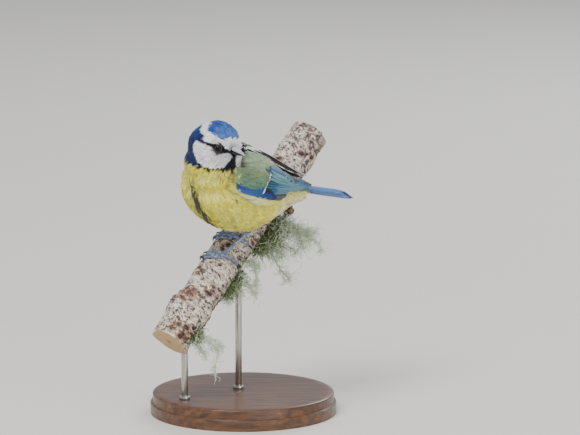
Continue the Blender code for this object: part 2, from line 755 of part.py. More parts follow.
def body_nodes():
    """Torso, neck and head, parted across the line from the torso's middle to the head's."""
    whole = whole_body()
    white = material("white_plumage", (0.85, 0.86, 0.88), 0.8)
    blue = material("collar_plumage", (0.05, 0.08, 0.2), 0.8)
    yellow = material("yellow_plumage", (0.72, 0.68, 0.16), 0.8)
    rise = (HEAD_AT - TORSO_AT).normalized()
    head_base, neck_base = HEAD_AT + rise * HEAD_CUT * MM, HEAD_AT + rise * NECK_CUT * MM
    rear = BODY_FRAME @ Vector((-1, 0, 0))
    half = rise * GAP / 2
    head = part_of("head", whole, [(head_base + half, -rise)], white)
    neck = part_of("neck", whole, [(head_base - half, rise), (neck_base + half, -rise)], blue)
    torso = part_of("torso", whole, [(neck_base - half, rise), (in_body(TORSO_END, 0, 0), rear)], yellow)
    bpy.data.objects.remove(whole)
    return torso, neck, head


def main():
    clear_scene()
    perch_node = perch()
    lichens()
    stand(perch_node)
    torso, neck, head = body_nodes()
    head_details(head)
    eye_finish = material("eye", (0.02, 0.015, 0.012), 0.08)
    forward, sideways, height = EYE_PLACE
    for name, side in (("left", 1), ("right", -1)):
        ball(f"eye_{name}", in_head(forward, side * sideways, height), EYE_RADIUS * MM, 2, eye_finish)
    for half_bill in bill():
        cut_away(head, grown(half_bill, BILL_GAP))
    keep_largest(head)
    cut_away(torso, grown(perch_node, GAP))
    for name, side in (("left", 1), ("right", -1)):
        for near in (torso, neck, head):
            cut_away(near, wing_plate("room", side, WING_UNDER - GAP / MM, ROOM_TOP, ROOM_MARGIN))
        wing(f"wing_{name}", side)
    tail()
    for side, place in FEET.items():
        leg = foot_and_leg(side, place)
        cut_away(leg, grown(torso, GAP))
        keep_largest(leg)
    keep_largest(torso)
    for node in bpy.context.scene.objects:
        node.data.shade_smooth()
        node.data.set_sharp_from_angle(angle=CREASE)


main()
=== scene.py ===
# %% [markdown]
# # A blue tit on its branch
#
# This lesson dresses a plain, measured model of a blue tit until it looks like a museum specimen. The
# solids already have the right size and pose, so they are loaded first and never moved. Everything after
# that is looks: bark, lichen, skin, plumage, flight feathers, feet, bill, eyes and the stand.

# %% Load the measured model
import math

import bpy
import numpy as np
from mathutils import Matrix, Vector, noise


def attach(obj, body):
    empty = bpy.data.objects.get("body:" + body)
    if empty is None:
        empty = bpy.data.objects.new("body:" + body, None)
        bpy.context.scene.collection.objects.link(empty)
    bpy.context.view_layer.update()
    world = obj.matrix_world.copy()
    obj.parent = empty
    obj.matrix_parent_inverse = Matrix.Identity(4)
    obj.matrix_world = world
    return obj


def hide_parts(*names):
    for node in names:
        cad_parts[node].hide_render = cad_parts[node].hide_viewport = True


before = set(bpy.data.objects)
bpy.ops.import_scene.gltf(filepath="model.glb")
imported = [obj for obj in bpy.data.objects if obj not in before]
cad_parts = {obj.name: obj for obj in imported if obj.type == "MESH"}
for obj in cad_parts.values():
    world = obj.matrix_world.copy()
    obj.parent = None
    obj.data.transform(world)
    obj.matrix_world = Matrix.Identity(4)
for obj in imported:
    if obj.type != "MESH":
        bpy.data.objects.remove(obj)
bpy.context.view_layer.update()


MM = 0.001
print("solids:", sorted(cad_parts))

# %% [markdown]
# ## Where things are
#
# The bird has two sets of axes, one for its body and one for its turned head. Each is forward, left and
# up. Markings, feathers and the lie of the coat are all worked out in these, because a blue tit's pattern
# belongs to its head and body and not to the room. The perch has its own line and its own way round.

# %% The bird's axes
TORSO_AT = np.array([-2.9, -15.0, 110.0]) * MM
NECK_AT = np.array([-13.4, -28.5, 122.9]) * MM
HEAD_AT = np.array([-12.8, -30.5, 132.6]) * MM


def unit(v):
    v = np.asarray(v, float)
    return v / np.maximum(np.linalg.norm(v, axis=-1, keepdims=True), 1e-12)


def axes(side, heading, pitch, roll):
    """Forward, left and up as rows: heading from +X or -X towards -Y, nose up, left side down."""
    heading, pitch, roll = (math.radians(a) for a in (heading, pitch, roll))
    flat = math.cos(pitch)
    forward = np.array([side * math.cos(heading) * flat, -math.sin(heading) * flat, math.sin(pitch)])
    left = unit(np.cross([0, 0, 1], forward))
    up = np.cross(forward, left)
    c, s = math.cos(roll), math.sin(roll)
    return np.array([forward, left * c - up * s, up * c + left * s])


BODY = axes(-1, 38.0, 16.0, 15.0)
HEAD = axes(1, 43.5, -7.5, 5.0)


def in_body(points):
    """Points in the body's own axes, in mm."""
    return (np.asarray(points) - TORSO_AT) @ BODY.T / MM


def in_head(points):
    return (np.asarray(points) - HEAD_AT) @ HEAD.T / MM


def from_body(points):
    return TORSO_AT + np.asarray(points, float) @ BODY * MM


def from_head(points):
    return HEAD_AT + np.asarray(points, float) @ HEAD * MM


print("body points to", BODY[0].round(2), "and the head to", HEAD[0].round(2))

# %% The torso's outline, which the folded wings follow
STATIONS = (
    # along the body, half width, height of back, depth of belly, height of middle, in mm
    (28.5, 0.5, 0.5, 0.5, 1.0),
    (26.8, 7.5, 7.0, 8.0, 0.8),
    (21.5, 14.5, 13.5, 14.6, 0.5),
    (12.0, 18.8, 17.5, 18.8, 0.0),
    (0.0, 20.0, 18.0, 20.2, -0.5),
    (-12.0, 17.8, 15.5, 18.2, 0.5),
    (-22.0, 12.8, 11.5, 13.0, 2.0),
    (-30.0, 8.6, 7.6, 8.4, 4.0),
    (-37.0, 5.8, 4.4, 5.2, 5.8),
    (-45.0, 4.4, 2.6, 3.0, 7.2),
    (-60.0, 4.0, 2.2, 2.4, 8.2),
)


def outline_at(place):
    """Half width, back, belly and middle at places along the body, on a smooth curve."""
    rows = np.array(sorted(STATIONS))
    x, y = rows[:, 0], rows[:, 1:]
    slope = np.gradient(y, x, axis=0)
    place = np.clip(np.asarray(place, float), x[0], x[-1])
    i = np.clip(np.searchsorted(x, place, side="right") - 1, 0, len(x) - 2)
    span = (x[i + 1] - x[i])[..., None]
    t = (place - x[i])[..., None] / span
    a, b = 2 * t**3 - 3 * t**2 + 1, t**3 - 2 * t**2 + t
    return a * y[i] + b * slope[i] * span + (1 - a) * y[i + 1] + (t**3 - t**2) * slope[i + 1] * span


def over_torso(side, along, turn, lift):
    """A point over the torso: place along it, degrees up from its side, height above it in mm."""
    shape = outline_at(along)
    turn = np.radians(turn)
    left = side * (shape[..., 0] + lift) * np.cos(turn)
    rise = shape[..., 3] + (shape[..., 1] + lift) * np.sin(turn)
    return from_body(np.stack([along + 0 * left, left, rise], -1))


print("half width at the wings:", outline_at(np.array([0.0]))[0, 0].round(1), "mm")

# %% The perch's axes
PERCH_AT = np.array([-5.4, 2.5, 77.8]) * MM
PERCH_WAY = unit([0.52, 0.49, 0.70])
PERCH_LOW, PERCH_HIGH, PERCH_RADIUS = -56.0, 72.0, 8.8
towards = np.array([0, -0.985, 0.174])
PERCH_FACING = unit(towards - PERCH_WAY * (towards @ PERCH_WAY))
PERCH_LEFT = -np.cross(PERCH_WAY, PERCH_FACING)


def on_perch(along, turn, radius):
    """A point beside the perch: mm along it, degrees round it from its near side, mm from its line."""
    turn = math.radians(turn)
    out = PERCH_FACING * math.cos(turn) + PERCH_LEFT * math.sin(turn)
    return PERCH_AT + (PERCH_WAY * along + out * radius) * MM


print("the perch rises", round(math.degrees(math.asin(PERCH_WAY[2]))), "degrees")

# %% [markdown]
# ## Camera, floor and light
#
# The photograph seems to be taken through a long lens, from a little above the bird. Neither its distance
# nor its slope is known, so the 2 m and the 10 degrees here are guesses. A wide pale floor fills the
# picture, and big soft lights stand in for an overcast sky.

# %% Camera
PIXEL = 0.47 * MM  # one pixel of the photograph, at the bird
WIDE, TALL = 580, 435
DISTANCE = 2.0
LOOK_DOWN = math.radians(10)

look = Vector((0, math.cos(LOOK_DOWN), -math.sin(LOOK_DOWN)))
aim = Vector(((WIDE / 2 - 243) * PIXEL, 0, (413 - TALL / 2) * PIXEL / math.cos(LOOK_DOWN)))
bpy.ops.object.camera_add(location=aim - look * DISTANCE, rotation=(math.pi / 2 - LOOK_DOWN, 0, 0))
camera = bpy.context.object
camera.data.lens = camera.data.sensor_width * DISTANCE / (WIDE * PIXEL)
camera.data.clip_end = 20
bpy.context.scene.camera = camera
print("lens:", round(camera.data.lens), "mm")


# %% Colours and plain finishes
def colour(red, green, blue):
    """A colour from the 0 to 255 of a paint chart, in the renderer's linear light."""
    return tuple(((c / 255 + 0.055) / 1.055) ** 2.4 if c > 10 else c / 255 / 12.92 for c in (red, green, blue))


def new_finish(name, roughness, metallic=0.0):
    finish = bpy.data.materials.new(name)
    finish.use_nodes = True
    shader = finish.node_tree.nodes["Principled BSDF"]
    shader.inputs["Roughness"].default_value = roughness
    shader.inputs["Metallic"].default_value = metallic
    return finish, finish.node_tree.nodes, finish.node_tree.links, shader


def add_ramp(nodes, links, source, stops):
    ramp = nodes.new("ShaderNodeValToRGB")
    while len(ramp.color_ramp.elements) < len(stops):
        ramp.color_ramp.elements.new(0.5)
    for element, (place, shade) in zip(ramp.color_ramp.elements, stops):
        element.position, element.color = place, (*shade, 1)
    links.new(source, ramp.inputs["Fac"])
    return ramp.outputs["Color"]


def add_noise(nodes, links, vector, scale, detail=4.0, roughness=0.5):
    made = nodes.new("ShaderNodeTexNoise")
    made.inputs["Scale"].default_value = scale
    made.inputs["Detail"].default_value = detail
    made.inputs["Roughness"].default_value = roughness
    links.new(vector, made.inputs["Vector"])
    return made.outputs["Fac"]


def add_mix(nodes, links, way, share, first, second):
    """Mixes two colours. share, first and second are sockets or plain values."""
    mix = nodes.new("ShaderNodeMix")
    mix.data_type, mix.blend_type = "RGBA", way
    for slot, value in ((0, share), (6, first), (7, second)):
        if isinstance(value, bpy.types.NodeSocket):
            links.new(value, mix.inputs[slot])
        else:
            mix.inputs[slot].default_value = value if slot == 0 else (*value, 1)
    return mix.outputs[2]


def add_bump(nodes, links, shader, height, strength, distance):
    bump = nodes.new("ShaderNodeBump")
    bump.inputs["Strength"].default_value = strength
    bump.inputs["Distance"].default_value = distance
    links.new(height, bump.inputs["Height"])
    links.new(bump.outputs["Normal"], shader.inputs["Normal"])


print("white of the cheek in linear light:", [round(c, 2) for c in colour(238, 240, 246)])


# %% Handling objects as by hand
def deselect():
    bpy.ops.object.select_all(action="DESELECT")


def pick(obj):
    deselect()
    obj.select_set(True)
    bpy.context.view_layer.objects.active = obj


def apply_modifiers(obj):
    pick(obj)
    for modifier in list(obj.modifiers):
        bpy.ops.object.modifier_apply(modifier=modifier.name)


def settle(obj, name, finish):
    """Puts an object's place into its mesh, and gives it its name, finish and smooth faces."""
    pick(obj)
    bpy.ops.object.transform_apply(location=True, rotation=True, scale=True)
    obj.name = obj.data.name = name
    obj.data.materials.clear()
    obj.data.materials.append(finish)
    obj.data.shade_smooth()
    return obj


def mount(obj, slot, *nodes):
    """Ties a finished piece to the model, and hides the solids it stands for."""
    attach(obj, "root")
    if nodes:
        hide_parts(*nodes)
    print(obj.name, "has", len(obj.data.polygons), "faces")
    return obj


# %% Floor and light
deselect()
floor_finish, nodes, links, shader = new_finish("pale_floor", 0.7)
shader.inputs["Base Color"].default_value = (*colour(226, 222, 214), 1)
bpy.ops.mesh.primitive_plane_add(size=12, location=(0, 0, 0))
floor = bpy.context.object
floor.name = "floor"
floor.data.materials.append(floor_finish)


def add_lamp(name, place, size, power, shade):
    bpy.ops.object.light_add(type="AREA", location=place)
    lamp = bpy.context.object
    lamp.name = name
    lamp.data.size, lamp.data.energy, lamp.data.color = size, power, shade
    lamp.rotation_euler = (Vector((0, -0.01, 0.1)) - Vector(place)).to_track_quat("-Z", "Y").to_euler()


add_lamp("sky_light", (-0.5, -0.9, 1.5), 0.8, 29, (1.0, 0.99, 0.97))
add_lamp("front_light", (0.9, -1.4, 0.5), 0.9, 10.5, (1.0, 0.97, 0.93))
add_lamp("rim_light", (0.6, 1.1, 0.9), 0.6, 9, (0.92, 0.96, 1.0))
world = bpy.data.worlds.new("studio")
bpy.context.scene.world = world
world.use_nodes = True
world.node_tree.nodes["Background"].inputs["Color"].default_value = (0.9, 0.94, 1.0, 1)
world.node_tree.nodes["Background"].inputs["Strength"].default_value = 0.55
print("three soft lamps and a pale sky")

# %% [markdown]
# ## The stand
#
# A museum would turn the base on a lathe from a dark hardwood and let two thin steel rods into it. A
# cylinder with a bevelled rim and a cut step does for the base, and each rod gets a small collar where it
# enters the wood.

# %% Dark turned wood and brushed steel
wood, nodes, links, shader = new_finish("turned_wood", 0.42)
place = nodes.new("ShaderNodeTexCoord").outputs["Object"]
stretch = nodes.new("ShaderNodeMapping")
stretch.inputs["Scale"].default_value = (0.12, 1.0, 1.0)
links.new(place, stretch.inputs["Vector"])
grain = add_noise(nodes, links, stretch.outputs["Vector"], 420, 6, 0.6)
links.new(
    add_ramp(nodes, links, grain, ((0.3, colour(58, 36, 22)), (0.55, colour(96, 62, 38)), (0.75, colour(124, 84, 52)))),
    shader.inputs["Base Color"],
)
shader.inputs["Coat Weight"].default_value = 0.25
add_bump(nodes, links, shader, grain, 0.15, 0.0004)

steel, nodes, links, shader = new_finish("brushed_steel", 0.3, 1.0)
place = nodes.new("ShaderNodeTexCoord").outputs["Object"]
stretch = nodes.new("ShaderNodeMapping")
stretch.inputs["Scale"].default_value = (1.0, 1.0, 0.05)
links.new(place, stretch.inputs["Vector"])
brushed = add_noise(nodes, links, stretch.outputs["Vector"], 3000, 3, 0.6)
links.new(
    add_ramp(nodes, links, brushed, ((0.3, colour(150, 148, 142)), (0.7, colour(205, 203, 198)))),
    shader.inputs["Base Color"],
)

# %% Turn the base
BASE_RADIUS, BASE_HEIGHT = 44.0, 10.0
bpy.ops.mesh.primitive_cylinder_add(vertices=160, radius=BASE_RADIUS * MM, depth=5.0 * MM, location=(0, 0, 2.5 * MM))
base = bpy.context.object
bpy.ops.object.mode_set(mode="EDIT")
bpy.ops.mesh.select_all(action="DESELECT")
bpy.ops.object.mode_set(mode="OBJECT")
for face in base.data.polygons:
    face.select = face.normal.z > 0.9
bpy.ops.object.mode_set(mode="EDIT")
for height, width in ((0.3, 1.0), (0.0, 0.975), (4.3, 1.0), (0.4, 0.985)):
    bpy.ops.mesh.extrude_region_move(TRANSFORM_OT_translate={"value": (0, 0, height * MM)})
    bpy.ops.transform.resize(value=(width, width, 1), center_override=(0, 0, 0))
bpy.ops.mesh.inset(thickness=3 * MM)
bpy.ops.object.mode_set(mode="OBJECT")
rim = base.modifiers.new("Rim", "BEVEL")
rim.width, rim.segments, rim.limit_method, rim.angle_limit = 0.5 * MM, 3, "ANGLE", math.radians(35)
apply_modifiers(base)
settle(base, "turned_base", wood)
bpy.ops.object.shade_smooth_by_angle(angle=math.radians(35))
mount(base, "plinth", "stand_base")

# %% Rods with collars
ROD_PLACES, ROD_RADIUS = (-42.0, 6.0), 1.6


def steel_rod(number, along):
    axis = on_perch(along, 0, 0)
    low, high = BASE_HEIGHT * MM, axis[2] - (PERCH_RADIUS - 1.5) * MM
    middle = (axis[0], axis[1], (low + high) / 2)
    bpy.ops.mesh.primitive_cylinder_add(vertices=40, radius=ROD_RADIUS * MM, depth=high - low, location=middle)
    rod = bpy.context.object
    bpy.ops.mesh.primitive_cylinder_add(
        vertices=40, radius=2.6 * MM, depth=1.6 * MM, location=(axis[0], axis[1], low + 0.75 * MM)
    )
    collar = bpy.context.object
    pick(rod)
    collar.select_set(True)
    bpy.ops.object.join()
    edge = rod.modifiers.new("Edge", "BEVEL")
    edge.width, edge.segments, edge.limit_method = 0.3 * MM, 2, "ANGLE"
    apply_modifiers(rod)
    settle(rod, f"steel_rod_{number}", steel)
    bpy.ops.object.shade_smooth_by_angle(angle=math.radians(40))
    mount(rod, "rod", f"stand_rod_{number}")


for number, along in enumerate(ROD_PLACES, 1):
    steel_rod(number, along)

# %% [markdown]
# ## Skin
#
# Under its feathers the bird has one continuous skin. Copies of the head, neck, torso and the front of
# each wing are joined and remeshed, so that no seam shows, and then shrunk by the coat's depth: least at
# the bill, the eyes and the ankles, most on the breast. The feathers fill that depth again.

# %% Copies of the flesh, melted together
EYE_PLACE, EYE_RADIUS = (9.9, 7.6, 0.9), 2.15
ANKLES = np.array([[3.4, -12.0, 89.2], [1.5, -6.0, 97.0]]) * MM
TAIL_TIP = from_body([-62.0, 0.0, 9.0])
BILL_AT = from_head([14.0, 0.0, 0.3])
EYES = np.array([from_head([EYE_PLACE[0], side * EYE_PLACE[1], EYE_PLACE[2]]) for side in (1, -1)])


def copy_of(node, name):
    """A copy of a solid with its loose triangles merged, as an object of its own."""
    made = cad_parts[node].copy()
    made.data = made.data.copy()
    for key in list(made.keys()):
        del made[key]
    made.parent = None
    made.name = name
    bpy.context.scene.collection.objects.link(made)
    pick(made)
    bpy.ops.object.mode_set(mode="EDIT")
    bpy.ops.mesh.select_all(action="SELECT")
    bpy.ops.mesh.remove_doubles(threshold=0.001 * MM)
    bpy.ops.object.mode_set(mode="OBJECT")
    return made


flesh = [copy_of(node, node + "_flesh") for node in ("torso", "neck", "head")]
for node in ("wing_left", "wing_right"):
    arm = copy_of(node, node + "_flesh")
    bpy.ops.object.mode_set(mode="EDIT")
    bpy.ops.mesh.select_all(action="SELECT")
    bpy.ops.mesh.bisect(
        plane_co=from_body([-11, 0, 0]), plane_no=BODY[0], use_fill=True, clear_inner=True, clear_outer=False
    )
    bpy.ops.object.mode_set(mode="OBJECT")
    flesh.append(arm)
deselect()
for piece in flesh:
    piece.select_set(True)
bpy.context.view_layer.objects.active = flesh[0]
bpy.ops.object.join()
skin = bpy.context.object
melt = skin.modifiers.new("Melt", "REMESH")
melt.mode, melt.voxel_size = "VOXEL", 0.6 * MM
ease = skin.modifiers.new("Ease", "SMOOTH")
ease.factor, ease.iterations = 0.5, 4
apply_modifiers(skin)
print("the melted skin has", len(skin.data.polygons), "faces")


# %% How deep the coat is
def near(points, centre, radius):
    """1 at a centre, falling smoothly to 0 at a radius in mm."""
    away = np.linalg.norm(points - centre, axis=1) / (radius * MM)
    return np.clip(1 - away, 0, 1) ** 2 * (1 + 2 * np.clip(away, 0, 1))


def step(x, low, high):
    t = np.clip((x - low) / (high - low), 0, 1)
    return t * t * (3 - 2 * t)


def turn_of(body):
    """Degrees up from the body's side, measured as over_torso does."""
    half, back, belly, middle = outline_at(body[:, 0]).T
    rise = body[:, 2] - middle
    return np.degrees(np.arctan2(rise / np.where(rise > 0, back, belly), np.abs(body[:, 1]) / half))


def coat_depth(points):
    head, body = in_head(points), in_body(points)
    headward = step(head[:, 2], -14, -8)
    depth = 1.7 * (1 - headward) + 1.15 * headward
    under_wing = step(turn_of(body), 8, 16) * step(body[:, 0], -16, -8) * (1 - step(body[:, 0], 16, 20))
    depth = depth * (1 - 0.4 * under_wing * (1 - headward))
    depth = depth * (1 - 0.6 * near(points, BILL_AT, 8))
    for eye in EYES:
        depth = depth * (1 - 0.75 * near(points, eye, 6))
    for ankle in ANKLES:
        depth = depth * (1 - 0.75 * near(points, ankle, 9))
    return depth * (1 - 0.5 * step(-body[:, 0], 28, 38))


def points_of(obj):
    flat = np.empty(len(obj.data.vertices) * 3, np.float32)
    obj.data.vertices.foreach_get("co", flat)
    return flat.reshape(-1, 3).astype(float)


DEEPEST = 2.0
depths = skin.vertex_groups.new(name="depth")
for i, depth in enumerate(coat_depth(points_of(skin))):
    depths.add([i], float(depth / DEEPEST), "REPLACE")
shrink = skin.modifiers.new("Shrink", "DISPLACE")
shrink.strength, shrink.mid_level, shrink.vertex_group = -DEEPEST * MM, 0.0, "depth"
ease = skin.modifiers.new("Ease", "SMOOTH")
ease.factor, ease.iterations = 0.5, 2
apply_modifiers(skin)
print("coat depth in mm from", coat_depth(points_of(skin)).min().round(2), "to 1.7")

# %% [markdown]
# ## Markings
#
# A blue tit's pattern is simple when it is told in the head's own axes. A cobalt cap sits on a white
# band, a dark stripe runs through the eye to a dark nape, the cheek is a white oval, and a black bib
# joins a dark collar under it. Below that the breast is yellow, the back is a dusty green, and a dark
# line runs down the belly. One function gives the colour of any point, and skin and feathers both use it.

# %% Colours of the plumage
SHADES = {
    name: np.array(colour(*chart))
    for name, chart in {
        "cobalt": (32, 70, 146),
        "sky": (86, 132, 198),
        "white": (246, 247, 251),
        "night": (22, 34, 88),
        "black": (18, 18, 30),
        "soot": (40, 46, 60),
        "yellow": (224, 214, 66),
        "lemon_and_highlight": (236, 230, 128),
        "olive_and_under_shade": (172, 166, 44),
        "cream": (232, 230, 180),
        "moss": (118, 138, 100),
        "sage": (150, 168, 138),
        "rump": (124, 150, 146),
        "teal_green": (84, 124, 104),
    }.items()
}


def wobble(points, size, seed):
    """Smooth, seeded unevenness about -1 to 1, in patches of a size in mm."""
    draw = np.random.default_rng(seed)
    total = np.zeros(len(points))
    for _ in range(7):
        way = unit(draw.normal(size=3)) * draw.uniform(0.7, 1.5)
        total += np.sin(points @ way * (6.283 / (size * MM)) + draw.uniform(0, 6.283))
    return total / 2.6


def blend(base, shade, share):
    """Lays a shade over an array of colours, by a share from 0 to 1 for each."""
    share = np.clip(share, 0, 1)[:, None]
    return base * (1 - share) + SHADES[shade] * share


# %% The body's pattern
BELLY_LINE = np.array(
    [
        [29.3, 4.4, 0.5], [27.6, 2.6, -3.4], [26.1, 4.6, -6.7], [23.6, 6.8, -10.0],
        [18.9, 7.5, -13.7], [6, 3, -20], [-10, 1, -18],
    ]
)


def from_belly_line(body):
    """Distance in mm from the dark line down the belly."""
    best = np.full(len(body), 99.0)
    for start, end in zip(BELLY_LINE[:-1], BELLY_LINE[1:]):
        way = end - start
        share = np.clip((body - start) @ way / (way @ way), 0, 1)
        best = np.minimum(best, np.linalg.norm(body - start - share[:, None] * way, axis=1))
    return best


def body_colour(points):
    body = in_body(points)
    f, u, turn = body[:, 0], body[:, 2], turn_of(body)
    rough = wobble(points, 3.0, 5)
    made = np.tile(SHADES["yellow"], (len(points), 1))
    made = blend(made, "lemon_and_highlight", 0.3 + 0.35 * wobble(points, 8.0, 6))
    # olive deepens towards the underside: partly the flanks' own duller yellow, partly painted shade under the body
    made = blend(made, "olive_and_under_shade", 0.6 * step(-u, 3, 16) * (0.55 + 0.6 * wobble(points, 4.5, 7)))
    made = blend(made, "cream", step(-f, 10, 24) + 0.5 * step(-u, 15, 20) * step(-f, -8, 6))
    # painted highlight: the upper flanks, behind the breast, turn a lighter lemon where light falls on them
    made = blend(made, "lemon_and_highlight", 0.8 * step(turn, -6, 6) * (1 - step(f, 12, 20)))
    line = from_belly_line(body) / (2.0 + 1.0 * rough)
    fade = (1 - 0.5 * step(-f, -14, 4)) * (1 - 0.6 * step(f, 26.5, 28.5))
    made = blend(made, "soot", 0.95 * (1 - step(line, 0.5, 1.3)) * fade)
    edge = turn - 24 - 6 * step(f, 2, 6) - 52 * step(f, 12, 17) + 4 * rough
    back = np.tile(SHADES["moss"], (len(points), 1))
    back = blend(back, "sage", step(turn, 50, 75) * 0.9 + 0.3 * rough)
    back = blend(back, "rump", step(-f, 14, 24))
    share = step(edge, -4, 4)[:, None]
    return made * (1 - share) + back * share


print("yellow of the flank:", body_colour(from_body([[-5, 15, -8]])).round(2).tolist())


# %% The head's pattern
CAP_EDGE = ((0, 31.5), (20, 34), (37, 39), (50, 44.5), (60, 43), (80, 45), (95, 49), (108, 42), (136, 36), (180, 38))
STRIPE_TOP = (
    (-6, 7.0), (-2, 5.2), (0.9, 4.3), (3.7, 3.2), (7.4, 2.7), (9.6, 3.1), (10.9, 2.9), (12, 1.4), (13, 0.6), (14, 0.3),
)
STRIPE_LOW = ((-6, 2.0), (-2, 2.5), (3, 2.1), (6.8, 1.2), (9.5, 0.2), (11, -0.8), (12.5, -0.8), (13, -0.5), (14, -1.6))
BIB_HALF = ((0.5, 1.0), (2.5, 1.4), (4.3, 1.9), (6.3, 2.9), (8.0, 4.1), (9.2, 7.0))


def along_line(x, line):
    return np.interp(x, *np.array(line).T)


def head_colour(points):
    head = in_head(points)
    f, l, u = head.T
    side = np.abs(l)
    rough, fine = wobble(points, 2.4, 8), wobble(points, 1.1, 9)
    size = np.linalg.norm(head, axis=1)
    from_cap = np.degrees(np.arccos(np.clip((0.45 * f + 0.89 * u) / size, -1, 1)))
    round_cap = np.degrees(np.arctan2(side, 0.89 * f - 0.45 * u))
    made = np.tile(SHADES["night"], (len(points), 1))
    made = blend(made, "cobalt", 0.7 * step(u, 0, 8) * (1 - step(f, -2, 4)))
    made = blend(made, "black", step(f, -2, 7))
    top, low = along_line(f, STRIPE_TOP), along_line(f, STRIPE_LOW)
    band = 1 - step(from_cap, 58 + 2 * rough, 62 + 2 * rough)
    band = np.maximum(band, step(f, 2, 4))
    made = blend(made, "white", band * step(u - top, -0.25, 0.25))
    cap = 1 - step(from_cap - along_line(round_cap, CAP_EDGE) + 1.5 * rough + 1.8 * fine, -1.5, 1.5)
    made = blend(made, "cobalt", cap)
    made = blend(made, "sky", cap * np.clip(step(f + 1.2 * rough, 2, 11) * 0.9 + 0.3 * fine, 0, 1))
    tilt = -1.6 - 0.1 * (f - 6.6)
    oval = ((f - 6.6) / 8.7) ** 2 + ((u - tilt) / 7.6) ** 2 + 0.04 * fine
    bib = along_line(-u, BIB_HALF) + 0.3 * rough
    cheek = (1 - step(oval, 0.93, 1.0)) * step(side - bib, -0.3, 0.3) * (1 - step(u - low, -0.3, 0.2))
    made = blend(made, "white", cheek)
    lores = (1 - step(np.linalg.norm(head - np.array([13.4, 0, 0.0]), axis=1), 2.0, 2.8)) * (1 - step(u, 0.8, 1.6))
    return blend(made, "black", lores)


def plumage_colour(points):
    """The colour of a feather whose root is at a point."""
    head = in_head(points)
    lower = -9.4 - 1.2 * np.exp(-(((head[:, 0] - 6) / 4) ** 2)) + 1.0 * step(head[:, 1], 3, 8)
    lower = lower + 0.6 * wobble(points, 2.0, 10)
    reach = np.hypot(head[:, 0], head[:, 1]) + 0.5 * wobble(points, 2.5, 11)
    share = (step(head[:, 2] - lower, -0.4, 0.4) * (1 - step(reach, 15.8, 16.6)))[:, None]
    return head_colour(points) * share + body_colour(points) * (1 - share)


print("blue at the crown:", plumage_colour(from_head([[2, 0, 12]])).round(2).tolist())


# %% A finish for feathers
def plumage_finish(name, roughness, grain, sheen):
    """Reads each feather's own colour, with fine, soft unevenness over it."""
    finish, nodes, links, shader = new_finish(name, roughness)
    own = nodes.new("ShaderNodeAttribute")
    own.attribute_name = "plumage"
    place = nodes.new("ShaderNodeTexCoord").outputs["Object"]
    fine = add_noise(nodes, links, place, grain, 3, 0.6)
    speckle = add_ramp(nodes, links, fine, ((0.3, (0.86, 0.86, 0.86)), (0.7, (1.08, 1.08, 1.08))))
    links.new(add_mix(nodes, links, "MULTIPLY", 1.0, own.outputs["Color"], speckle), shader.inputs["Base Color"])
    shader.inputs["Sheen Weight"].default_value = sheen
    shader.inputs["Sheen Roughness"].default_value = 0.5
    shader.inputs["Specular IOR Level"].default_value = 0.25
    return finish


down = plumage_finish("soft_plumage", 0.85, 900, 0.15)


def paint(obj, colours):
    """Stores a colour for each point of a mesh."""
    mesh = obj.data
    layer = mesh.color_attributes.new("plumage", "FLOAT_COLOR", "POINT")
    rgba = np.ones((len(mesh.vertices), 4), np.float32)
    rgba[:, :3] = np.clip(colours, 0, 1)
    layer.data.foreach_set("color", rgba.ravel())


settle(skin, "skin", down)
# the skin's plumage colour darkened to 0.6: partly the grey down at the feathers' bases, partly painted shade deep in
# the coat between the tufts
paint(skin, plumage_colour(points_of(skin)) * 0.6)
mount(skin, "yellow_plumage", "head", "neck", "torso")

# %% [markdown]
# ## The coat
#
# Small body feathers are too many to model one by one by hand, so one tapered tuft is described and
# repeated over the skin. Each tuft is a thin solid blade of barbs: it rises through the coat's depth and
# then lies flat along the body, from the bill back over the head, down the neck and on towards the tail.
# Tufts are smallest on the face and longest on the flanks and back.


# %% The lie of the feathers
def lie(points, normals):
    """The way a feather points: away from the bill, round to the neck, and along the body to the tail."""
    head_share = step(in_head(points)[:, 2], -17, -9)[:, None]

    def pull(start, end):
        out, into = points - start, end - points
        return out / (out**2).sum(1, keepdims=True) + into / (into**2).sum(1, keepdims=True)

    over_head = pull(BILL_AT, NECK_AT + np.array([0, 0, -0.004]))
    over_body = pull(NECK_AT + BODY[0] * 0.004, TAIL_TIP)
    way = over_head * head_share + over_body * (1 - head_share)
    way = unit(way - normals * (way * normals).sum(1, keepdims=True))
    for ankle in ANKLES:
        down_leg = unit(ankle - points)
        way = way + 2.5 * near(points, ankle, 11)[:, None] * down_leg
    return unit(way - normals * (way * normals).sum(1, keepdims=True))


# %% Where tufts grow
skin.data.calc_loop_triangles()
corners_of = np.empty(len(skin.data.loop_triangles) * 3, np.int32)
skin.data.loop_triangles.foreach_get("vertices", corners_of)
SKIN_POINTS = points_of(skin)
flat = np.empty(len(SKIN_POINTS) * 3, np.float32)
skin.data.vertices.foreach_get("normal", flat)
SKIN_NORMALS = flat.reshape(-1, 3).astype(float)
SKIN_FACES = corners_of.reshape(-1, 3)


def scattered(count, crowd, seed):
    """Places over the skin, thicker where crowd gives more, with the skin's normal at each."""
    draw = np.random.default_rng(seed)
    a, b, c = (SKIN_POINTS[SKIN_FACES[:, k]] for k in range(3))
    area = np.linalg.norm(np.cross(b - a, c - a), axis=1) * crowd((a + b + c) / 3)
    face = draw.choice(len(area), count, p=area / area.sum())
    s, t = draw.random((2, count))
    flip = s + t > 1
    s, t = np.where(flip, 1 - s, s)[:, None], np.where(flip, 1 - t, t)[:, None]
    i, j, k = SKIN_FACES[face].T
    points = SKIN_POINTS[i] * (1 - s - t) + SKIN_POINTS[j] * s + SKIN_POINTS[k] * t
    normals = SKIN_NORMALS[i] * (1 - s - t) + SKIN_NORMALS[j] * s + SKIN_NORMALS[k] * t
    return points, unit(normals)


